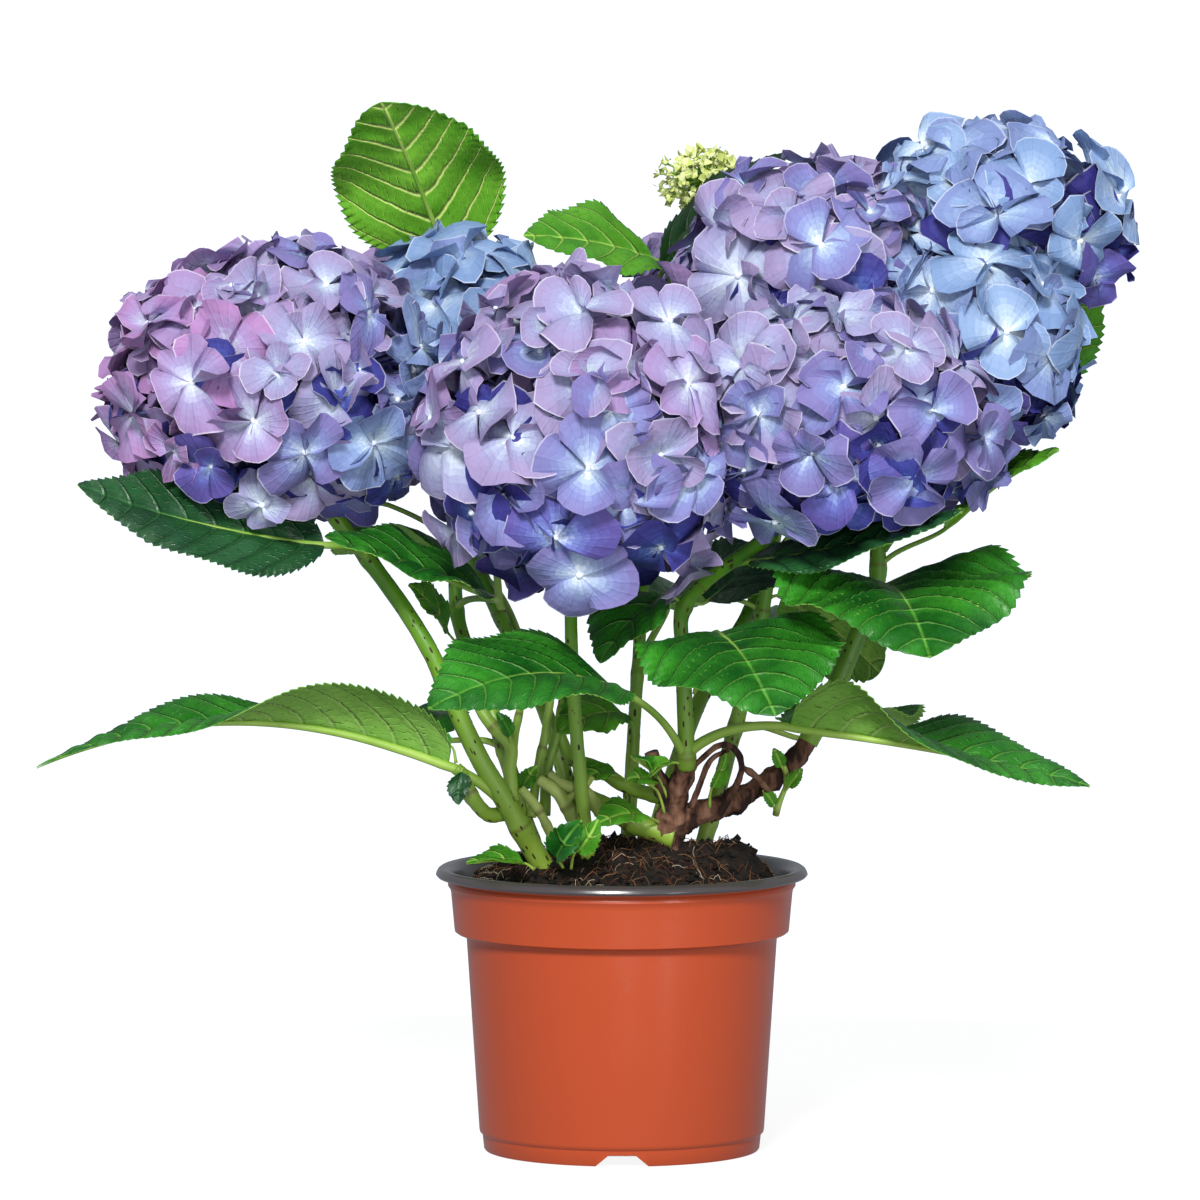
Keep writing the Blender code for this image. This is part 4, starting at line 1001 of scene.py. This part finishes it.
def leaf_rows(length):
    """Shares of the length at which the rows lie, and each row's place in its tooth."""
    teeth = max(8, round(length / (TOOTH * MM)))
    steps = np.array(TOOTH_ROWS)
    rows = ((np.arange(teeth)[:, None] + steps) / teeth).ravel()
    return np.append(rows, 1.0), np.append(np.tile(steps / steps[-1], teeth), 0.0)


def vein_marks(t, s, length, half_width, across):
    """Count of side veins up to each point, millimetres from the midrib and share of the way out."""
    rise = VEIN_LEAN * half_width * (np.abs(across) / half_width) ** 1.35
    count = (t * length - rise) / (VEIN_SPACING * MM) + 0.35
    return np.stack([count, np.abs(across) / MM, np.abs(s)], -1)


def grow_leaf(piece, rng, row, start, outline_rule, columns=LEAF_COLUMNS, first=0):
    """One leaf: upper side, underside and rim of its blade, and its petiole with the midrib."""
    base, tip, width, _, fold, _, _ = row
    length = float(np.linalg.norm(mm(tip) - mm(base)))
    half = width / 2 * MM
    rows, saw = leaf_rows(length)
    spots, sides, ups, stalk = leaf_spine(row, start, rows)
    # Place across: s runs from -1 to 1, and x and z are how far out and up that is
    even = np.linspace(-1, 1, columns + 1)
    s = np.broadcast_to(np.sin(even * math.pi / 2) * 0.35 + even * 0.65, (len(rows), columns + 1))
    out = np.abs(s)
    t = rows[:, None]
    drawn = np.clip((t - LEAF_POINT[1]) / (1 - LEAF_POINT[1]), 0, 1)
    outline = blade_width(t, *outline_rule) * half
    outline = outline * (1 - LEAF_POINT[0] * drawn * (1 - drawn) * (4 - 2 * drawn)) + 0.25 * MM
    bite = TOOTH_DEPTH * MM * (saw[:, None] - 0.6) * np.clip(outline / (10 * MM), 0, 1)
    x = s * (outline + bite * out**14)
    marks = vein_marks(t, s, length, half, x)
    angle = math.radians(fold) * (1.4 - 1.2 * t)
    z = np.abs(x) * np.sin(angle)
    x = x * np.cos(angle)
    waves = rng.uniform(1.6, 2.6)
    wave = np.sin(t * waves * math.tau + np.where(s > 0, 0, 2.2) + rng.uniform(0, math.tau))
    z = z + wave * out**2 * outline * 0.10 - out**3 * outline * rng.uniform(0.03, 0.10)
    # The blade swells between its veins and sinks at the midrib
    swell = 0.5 - 0.5 * np.cos(marks[..., 0] * math.tau)
    inner = np.clip(1 - out**4, 0, 1) * np.clip(t * 8, 0, 1) * np.clip((1 - t) * 6, 0, 1)
    z = z + swell * inner * np.clip(out * 4, 0, 1) * min(1.9, 0.03 * width) * MM
    z = z - np.clip(1 - out * 6, 0, 1) * 0.6 * MM * inner
    blade = spots[:, None] + sides[:, None] * x[..., None] + ups[:, None] * z[..., None]
    skin = blade_normals(blade, ups) * LEAF_HALF_THICK * MM
    upper, under = blade + skin, blade - skin
    piece.grids(upper[:, ::-1], first, marks[:, ::-1])
    piece.grids(under, first + 1, marks)
    for side, way in ((0, 1), (-1, -1)):
        piece.grids(np.stack([upper[:, side], under[:, side]], 1)[:, ::way], first + 1, (0.5, 9, 1))
    thick = PETIOLE_RADIUS * float(np.clip(length / (95 * MM), 0.35, 1.4))
    rib = spots + ups * (z[:, columns // 2, None] - 0.5 * MM)
    rib_radii = thick * PETIOLE_WAIST * (1 - rows) ** 0.8 * 0.9 + 0.15
    share = np.linspace(0, 1, len(stalk) - 1)
    stalk_radii = thick * (PETIOLE_SWELL + (PETIOLE_WAIST - PETIOLE_SWELL) * share**0.5)
    radii = mm([*stalk_radii, *rib_radii[2::3]])
    piece.tube([*stalk[:-1], *rib[2::3]], radii, 10, first + 2)


def blade_normals(points, ups):
    """Unit normals of a grid of points, on the side that its upward directions point to."""
    normal = np.cross(np.gradient(points, axis=1), np.gradient(points, axis=0))
    normal = normal / np.maximum(np.linalg.norm(normal, axis=-1, keepdims=True), 1e-12)
    return normal * np.where((normal * ups[:, None]).sum(-1, keepdims=True) < 0, -1, 1)


def build_leaf(name, limbs, looks):
    """A leaf of the table, in the place of its CAD node."""
    node = "leaf_" + name
    carrier, share, *row = LEAVES[name]
    under = "leaf_under_bright" if name in BRIGHT_UNDER else "leaf_under"
    skins = [looks["leaf_" + LEAF_TONES.get(name, "mid")], looks[under], looks["petiole"]]
    row.append(LEAF_TURNS.get(name, 0))
    piece = Piece()
    grow_leaf(piece, dice(node), row, limbs[carrier].at(share), LEAF_OUTLINES.get(name, LEAF_OUTLINE))
    piece.build(node + "_blade", skins, "leaf_green", node)


def build_sprouts(rng, looks):
    """Small leaves round the feet of the canes."""
    tones = ("mid", "dark", "bright")
    skins = [looks[key] for tone in tones for key in ("leaf_" + tone, "leaf_under_bright", "petiole")]
    piece = Piece()
    for start, *row, tone in SPROUTS:
        grow_leaf(piece, rng, row, mm(start), LEAF_OUTLINE, 10, tones.index(tone) * 3)
    piece.build("sprout_leaves", skins, "leaf_green")


# ---- flower heads


class Space:
    """A head's own space: an ellipsoid cut off where its neighbours' begin."""

    def __init__(self, name):
        self.middle, self.sizes = mm(HEADS[name][1]), mm(HEADS[name][2])
        self.walls = []
        others = [row[1:3] for other, row in HEADS.items() if other != name]
        for middle, sizes in [*others, (BUD_MIDDLE, BUD_SIZES)]:
            across = mm(middle) - self.middle
            far = float(np.linalg.norm(across))
            way = across / far
            mine = self.radius(way)
            theirs = 1 / math.sqrt(((way / mm(sizes)) ** 2).sum())
            if mine + theirs > far * 0.95:
                self.walls.append((way, far * mine / (mine + theirs) - 0.15 * MM))

    def radius(self, way):
        return 1 / np.sqrt(((way / self.sizes) ** 2).sum(-1))

    def count(self, spacing, share):
        """How many florets this far apart cover the ellipsoid at a share of its size."""
        power = 1.6075
        a, b, c = (self.sizes * share) ** power
        area = 4 * math.pi * ((a * b + a * c + b * c) / 3) ** (1 / power)
        return round(area * (1 - LOWEST_FLORET) / 2 / ((spacing * MM) ** 2 * math.sqrt(3) / 2))

    def press(self, points, margin):
        """The points moved back behind any wall they would cross, and how many walls moved each."""
        moved = np.zeros(points.shape[:-1], int)
        for way, limit in self.walls:
            over = (points - self.middle) @ way - limit + margin
            points = points - way * np.clip(over, 0, None)[..., None]
            moved += over > 0
        return points, moved

    def draw_in(self, points, share_at):
        """Points that stand far out of their layer moved back towards it."""
        inner, keep = share_at + SKIN[0], SKIN[1]
        out = points - self.middle
        share = np.linalg.norm(out / self.sizes, axis=-1, keepdims=True)
        return self.middle + out * np.where(share > inner, (inner + (share - inner) * keep) / share, 1)


def spread_ways(count):
    """Directions spread evenly over a ball, from the top down to where the stem comes in."""
    index = np.arange(count)
    height = 1 - (1 - LOWEST_FLORET) * (index + 0.5) / count
    flat = np.sqrt(1 - height**2)[:, None]
    return around(X, Y, math.pi * (3 - math.sqrt(5)) * index) * flat + UP * height[:, None]


def sepal_shape(rng, count, rows, columns):
    """Polar outline and lift of the sepals of many florets, for a floret that is 1 across."""

    def draw(low, high):
        return rng.uniform(low, high, (count, SEPALS, 1, 1))

    def draw_one(low, high):
        return rng.uniform(low, high, (count, 1, 1, 1))

    # u is the share of the way out, and a the place across, from -1 to 1
    u = np.array(rows)[:, None]
    u = u + rng.normal(0, 0.03, (count, SEPALS, 1, columns + 1)) * np.sin(u * math.pi)
    a = np.linspace(-0.985, 0.985, columns + 1)
    reach = (1 - np.abs(a) ** draw(2.2, 3.6)) ** draw(0.36, 0.52)
    reach = reach * draw(0.86, 1.08) + draw(-0.02, 0.10) * hump(a, 0.2)
    ruffle = 0.025 * np.sin(a * draw(3, 6) + draw(0, 6)) + 0.018 * np.sin(a * draw(7, 12) + draw(0, 6))
    reach = 0.5 * reach * (1 + ruffle * u)
    tip = a + draw(-0.16, 0.16) * (1 - a**2)
    half = math.radians(SEPAL_HALF_ANGLE)
    turn = circle(SEPALS)[:, None, None] + draw(-0.14, 0.14) + tip * half * draw(0.86, 1.1) * (1 - 0.1 * u)
    # Angle at which a sepal starts and how it bends: some florets are cupped, and some sepals stand up
    cupped = np.where(draw_one(0, 1) < 0.25, draw_one(0.4, 0.95), draw_one(-0.15, 0.3))
    start = cupped + draw(-0.16, 0.16) + np.where(draw(0, 1) < 0.15, draw(0.2, 0.8), 0)
    bend = draw(-1.0, 0.5) - 0.4 * start
    out = reach * u * np.cos(start + bend * u / 2)
    lift = reach * (u * np.sin(start) + u**2 * bend / 2)
    # Every other sepal lies over its neighbours; each is troughed or arched, tilted, and wavy at its edge
    over = np.where(np.arange(SEPALS) % 2 == 0, 0.02, -0.012)[:, None, None]
    lift = lift + over * np.sin(u * math.pi * 0.6)
    lift = lift + draw(-0.55, 0.5) * a**2 * u * 0.5 + draw(-0.35, 0.35) * a * u * 0.5
    lift = lift + draw(0.05, 0.13) * np.sin(a * draw(3.0, 7.0) + draw(0, 6)) * u**2.5
    return out, turn, lift


def floret_frames(rng, space, ways, faces_at, lean):
    """Directions of florets: outward, then a little off, and away from a neighbour's wall."""
    normals = unit(ways / space.sizes**2) + rng.uniform(-lean, lean, ways.shape)
    for way, limit in space.walls:
        near = np.clip(1 - (limit - (faces_at - space.middle) @ way) / (WALL_NEAR * MM), 0, 1)
        normals = normals - way * near[:, None] * 0.5
    normals = unit(normals)
    across = unit(np.cross(normals, np.where(np.abs(normals[:, 2:]) > 0.8, X, UP)))
    across = turned(across, normals, rng.uniform(0, math.pi / 2, len(ways)))
    return normals, across, np.cross(normals, across)


def star(face, normal, across, along, width, root):
    """The source's plain floret, to test what a floret would touch."""
    points = [face - normal * 0.06 * width, root]
    for quarter in circle(SEPALS):
        for turn, reach, lift in STAR_LOBE:
            flat = around(across, along, math.radians(turn) + quarter)
            points.append(face + flat * reach * width + normal * lift * width)
    return np.array(points)


def star_faces():
    rim = SEPALS * len(STAR_LOBE)
    pairs = [(2 + corner, 2 + (corner + 1) % rim) for corner in range(rim)]
    return [face for one, next_one in pairs for face in ((0, one, next_one), (1, next_one, one))]


def tints_of(row, ways, shade_share, rng):
    """Palette number of each floret: the head's mean, its run over the head, and chance, with the dark
    palettes of painted shade for inner and low florets.
    """
    value = row[4] + ways @ np.array(row[5]) + rng.uniform(-0.9, 0.9, len(ways))
    last = len(PALETTES) - 1
    # Painted shade: the deeper the layer and the lower the floret, the likelier a dark palette
    shaded = rng.uniform(0.2, 1.2, len(ways)) < shade_share * (0.75 - ways[:, 2])
    common = np.clip(np.round(value), 0, last - SHADE_PALETTES)
    return np.where(shaded, last - (rng.uniform(0, 1, len(ways)) > shade_share), common).astype(int)


def seat_florets(rng, space, layer, scale, obstacles):
    """Places, directions and widths of one layer of florets that touch no limb, leaf or neighbour."""
    share, spacing, width, lean = layer[:4]
    ways = spread_ways(space.count(spacing * scale, share))
    ways = unit(ways + rng.normal(0, 0.08, ways.shape))
    reach = space.radius(ways)
    faces_at = space.middle + ways * (reach * share * rng.uniform(*FLORET_SCATTER, len(ways)))[:, None]
    axes = floret_frames(rng, space, ways, faces_at, lean)
    widths = width * scale * MM * rng.uniform(0.84, 1.1, len(ways))
    margins = rng.uniform(*FLORET_MARGINS, len(ways)) * MM
    kept = []
    faces = star_faces()
    for index in range(len(ways)):
        root = faces_at[index] - ways[index] * reach[index] * FLORET_NECK
        for shrink in FLORET_SHRINKS:
            size = widths[index] * shrink
            points = star(faces_at[index], *(axis[index] for axis in axes), size, root)
            points, moved = space.press(points, margins[index])
            tree = BVHTree.FromPolygons([Vector(point) for point in points], faces)
            if (moved > 0).sum() <= MOST_PRESSED and not any(tree.overlap(other) for other in obstacles):
                widths[index] = size
                kept.append(index)
                break
    return ways[kept], faces_at[kept], [axis[kept] for axis in axes], widths[kept], margins[kept]


def zone_slots(rng, tints, rows, columns):
    """Material number of each face of each sepal: tones from the eye out in streaks, and a pale rim of
    painted highlight.
    """
    count = len(tints)
    rows = np.array(rows)
    u = ((rows[:-1] + rows[1:]) / 2)[:, None]
    streaks = rng.normal(0, 0.05, (count, SEPALS, 1, columns))
    grain = rng.normal(0, 0.015, (count, SEPALS, len(rows) - 1, columns))
    pale = rng.uniform(-0.16, 0.30, (count, 1, 1, 1))
    value = u * rng.uniform(0.95, 1.3, (count, 1, 1, 1)) + streaks * (1.2 - u) + grain - pale * u
    tones = np.clip((value * TONES).astype(int), 0, TONES - 1)
    # About two sepals in three get the pale rim, a painted edge highlight
    edged = rng.uniform(0, 1, (count, SEPALS, 1, 1)) < 0.65
    return tints[:, None, None, None] * (TONES + 1) + np.where((u > RIM_START) & edged, TONES, tones)


def build_head(name, limbs, obstacles, looks):
    """A flower head: its florets, layer by layer, and the stalks that meet at its hub."""
    row = HEADS[name]
    rng = dice(name)
    space = Space(name)
    petals, stalks = Piece(), Piece()
    skins = [look for key, look in looks.items() if key[0].isdigit()] + [looks["bead"]]
    foot = limbs[row[0]].path[-1]
    hub = space.middle - (space.middle - foot) * 0.25
    stalks.tube([foot, (foot + hub) / 2, hub], mm([2.3, 2.2, 2.0]), 8)
    for layer in LAYERS:
        share, *_, shade_share, rows, columns = layer
        ways, faces_at, axes, widths, margins = seat_florets(
            rng, space, layer, FLORET_SCALES.get(name, 1), obstacles
        )
        out, turn, lift = sepal_shape(rng, len(ways), rows, columns)
        normals, across, along = (axis[:, None, None, None] for axis in axes)
        points = around(across, along, turn) * out[..., None] + normals * lift[..., None]
        points = faces_at[:, None, None, None] + points * widths[:, None, None, None, None]
        points, _ = space.press(space.draw_in(points, share), margins[:, None, None, None])
        tints = tints_of(row, ways, shade_share, rng)
        marks = np.zeros(points.shape)
        marks[..., 0] = np.array(rows)[:, None]
        marks[..., 1] = np.linspace(-1, 1, columns + 1)
        petals.grids(points, zone_slots(rng, tints, rows, columns), marks)
        for spot, way, side, ahead in zip(faces_at, *axes):
            petals.add(*bead(spot + way * 0.3 * MM, way, side, ahead), len(skins) - 1)
            start = spot - way * 0.4 * MM
            knee = space.middle + (spot - space.middle) * 0.5
            stalks.tube([start, (start + knee) / 2, knee, hub], STALK_RADIUS * MM, 5, caps=False)
    petals.build(name + "_petals", skins, row[3], name)
    stalks.build(name + "_stalks", [looks["stalk"]], row[3])


def bead(middle, normal, across, along):
    """The tiny bud at a floret's middle: a low dome."""
    size, count = BEAD_RADIUS * MM, BEAD_SIDES
    rim = around(across, along, circle(count))
    points = np.concatenate([rim, rim * 0.7 + normal * 0.75, [normal * 1.05]]) * size + middle
    pairs = [(corner, (corner + 1) % count) for corner in range(count)]
    faces = [(one, after, after + count) for one, after in pairs]
    faces += [(one, after + count, one + count) for one, after in pairs]
    faces += [(one + count, after + count, 2 * count) for one, after in pairs]
    return points, faces


def build_bud_head(limbs, looks):
    """The young head: tight clusters of tiny yellow-green florets and buds."""
    rng = dice("bud_head")
    middle, sizes = mm(BUD_MIDDLE), mm(BUD_SIZES)
    petals, stalks = Piece(), Piece()
    foot = limbs["cane_bud"].path[-1]
    stalks.tube([foot, (foot + middle) / 2, middle], mm([1.9, 1.8, 1.4]), 8)
    ways = spread_ways(BUD_COUNT)
    normals = unit(ways / sizes**2 + rng.normal(0, 0.35, ways.shape) / sizes.mean() ** 2)
    across = unit(np.cross(normals, rng.normal(size=ways.shape)))
    spots = middle + ways * sizes * rng.uniform(0.72, 1.02, (BUD_COUNT, 1))
    shapes = sepal_shape(rng, BUD_COUNT, (0.05, 0.5, 1.0), 4)
    florets = zip(spots, normals, across, np.cross(normals, across), *shapes)
    for spot, normal, side, ahead, out, turn, lift in florets:
        size = rng.uniform(4.5, 8.5) * MM
        points = around(side, ahead, turn) * out[..., None] + normal * lift[..., None] * 1.3
        petals.grids(spot + points * size, rng.integers(2, size=(SEPALS, 2, 4)))
        petals.grids(lobed_bud(spot, normal, side, ahead, size * 0.14), 1, closed=True)
        stalks.tube([spot, (spot + middle) / 2, middle], 0.5 * MM, 4, caps=False)
    petals.build("bud_head_buds", [looks["bud"], looks["bud_tip"]], "bud_green", "bud_head")
    stalks.build("bud_head_stalks", [looks["petiole"]], "bud_green")


def lobed_bud(spot, normal, across, along, size):
    """Rings of a small bud with four swollen lobes."""
    u = np.linspace(0.05, 0.97, 5)[:, None]
    turns = circle(8)
    out = np.sin(u * math.pi) ** 0.7 * (1 + 0.22 * np.cos(turns * 4) * u) * size
    up = -np.cos(u * math.pi) * size * 1.15
    return spot + out[..., None] * around(across, along, turns) + up[..., None] * normal


# ---- stage


def lamp(name, kind, place, power, **settings):
    """A lamp that shines at the middle of the plant."""
    data = bpy.data.lights.new(name, kind)
    data.energy = power
    for key, value in settings.items():
        setattr(data, key, value)
    obj = put(name, data)
    obj.location = place
    obj.rotation_euler = (Vector(AIM) - Vector(place)).to_track_quat("-Z", "Y").to_euler()


def build_stage():
    """A pale floor, a background that is white to the camera and dimmer as light, and the lamps."""
    look = Nodes("floor", (0.16, 0.16, 0.16), 0.8, 0.0)
    look.feed(look.shader["Emission Color"], (1, 1, 1))
    look.feed(look.shader["Emission Strength"], FLOOR_GLOW)
    bpy.ops.mesh.primitive_circle_add(vertices=96, radius=FLOOR_RADIUS, fill_type="NGON", location=(0, 0, 0))
    floor = bpy.context.object
    floor.name = "floor"
    floor.data.materials.append(look.material)
    floor.visible_diffuse = False
    floor.visible_glossy = False
    world = bpy.data.worlds.new("studio")
    bpy.context.scene.world = world
    world.use_nodes = True
    nodes, links = world.node_tree.nodes, world.node_tree.links
    background = nodes["Background"]
    background.inputs["Color"].default_value = WORLD_COLOUR
    strength = nodes.new("ShaderNodeMapRange")
    strength.inputs["To Min"].default_value = WORLD_LIGHT
    strength.inputs["To Max"].default_value = BACKGROUND
    links.new(nodes.new("ShaderNodeLightPath").outputs["Is Camera Ray"], strength.inputs["Value"])
    links.new(strength.outputs["Result"], background.inputs["Strength"])
    lamp("key", "SUN", SUN_PLACE, SUN_LIGHT, angle=math.radians(SUN_ANGLE))
    for name, (place, width, height, power) in LAMPS.items():
        lamp(name, "AREA", place, power, shape="RECTANGLE", size=width, size_y=height)
    view = bpy.context.scene.view_settings
    view.view_transform = "Standard"
    view.look = "None"


def build_camera():
    data = bpy.data.cameras.new("camera")
    data.lens = CAMERA_LENS
    data.sensor_width = 36
    data.clip_end = 40
    camera = put("camera", data)
    camera.location = mm(CAMERA_PLACE)
    camera.rotation_euler = (math.radians(90 - CAMERA_TILT), 0, 0)
    bpy.context.scene.camera = camera


def obstacle_trees():
    """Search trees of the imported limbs, leaves and young head, which no floret may touch."""
    trees = []
    for name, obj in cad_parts.items():
        if not name.startswith(("bloom_", "pot", "compost")):
            points = [vert.co for vert in obj.data.vertices]
            trees.append(BVHTree.FromPolygons(points, [tuple(face.vertices) for face in obj.data.polygons]))
    return trees


def main():
    build_camera()
    looks = make_materials()
    limbs = {name: Limb(name) for name in LIMBS}
    build_pot(looks)
    build_compost(looks)
    for name, limb in limbs.items():
        build = build_old_wood if name.startswith("old_") else build_cane
        build(name, limb, looks)
    for name in LEAVES:
        build_leaf(name, limbs, looks)
    rng = dice("sprouts")
    build_sprouts(rng, looks)
    build_shoots(rng, looks)
    obstacles = obstacle_trees()
    for name in HEADS:
        build_head(name, limbs, obstacles, looks)
    build_bud_head(limbs, looks)
    build_stage()


main()
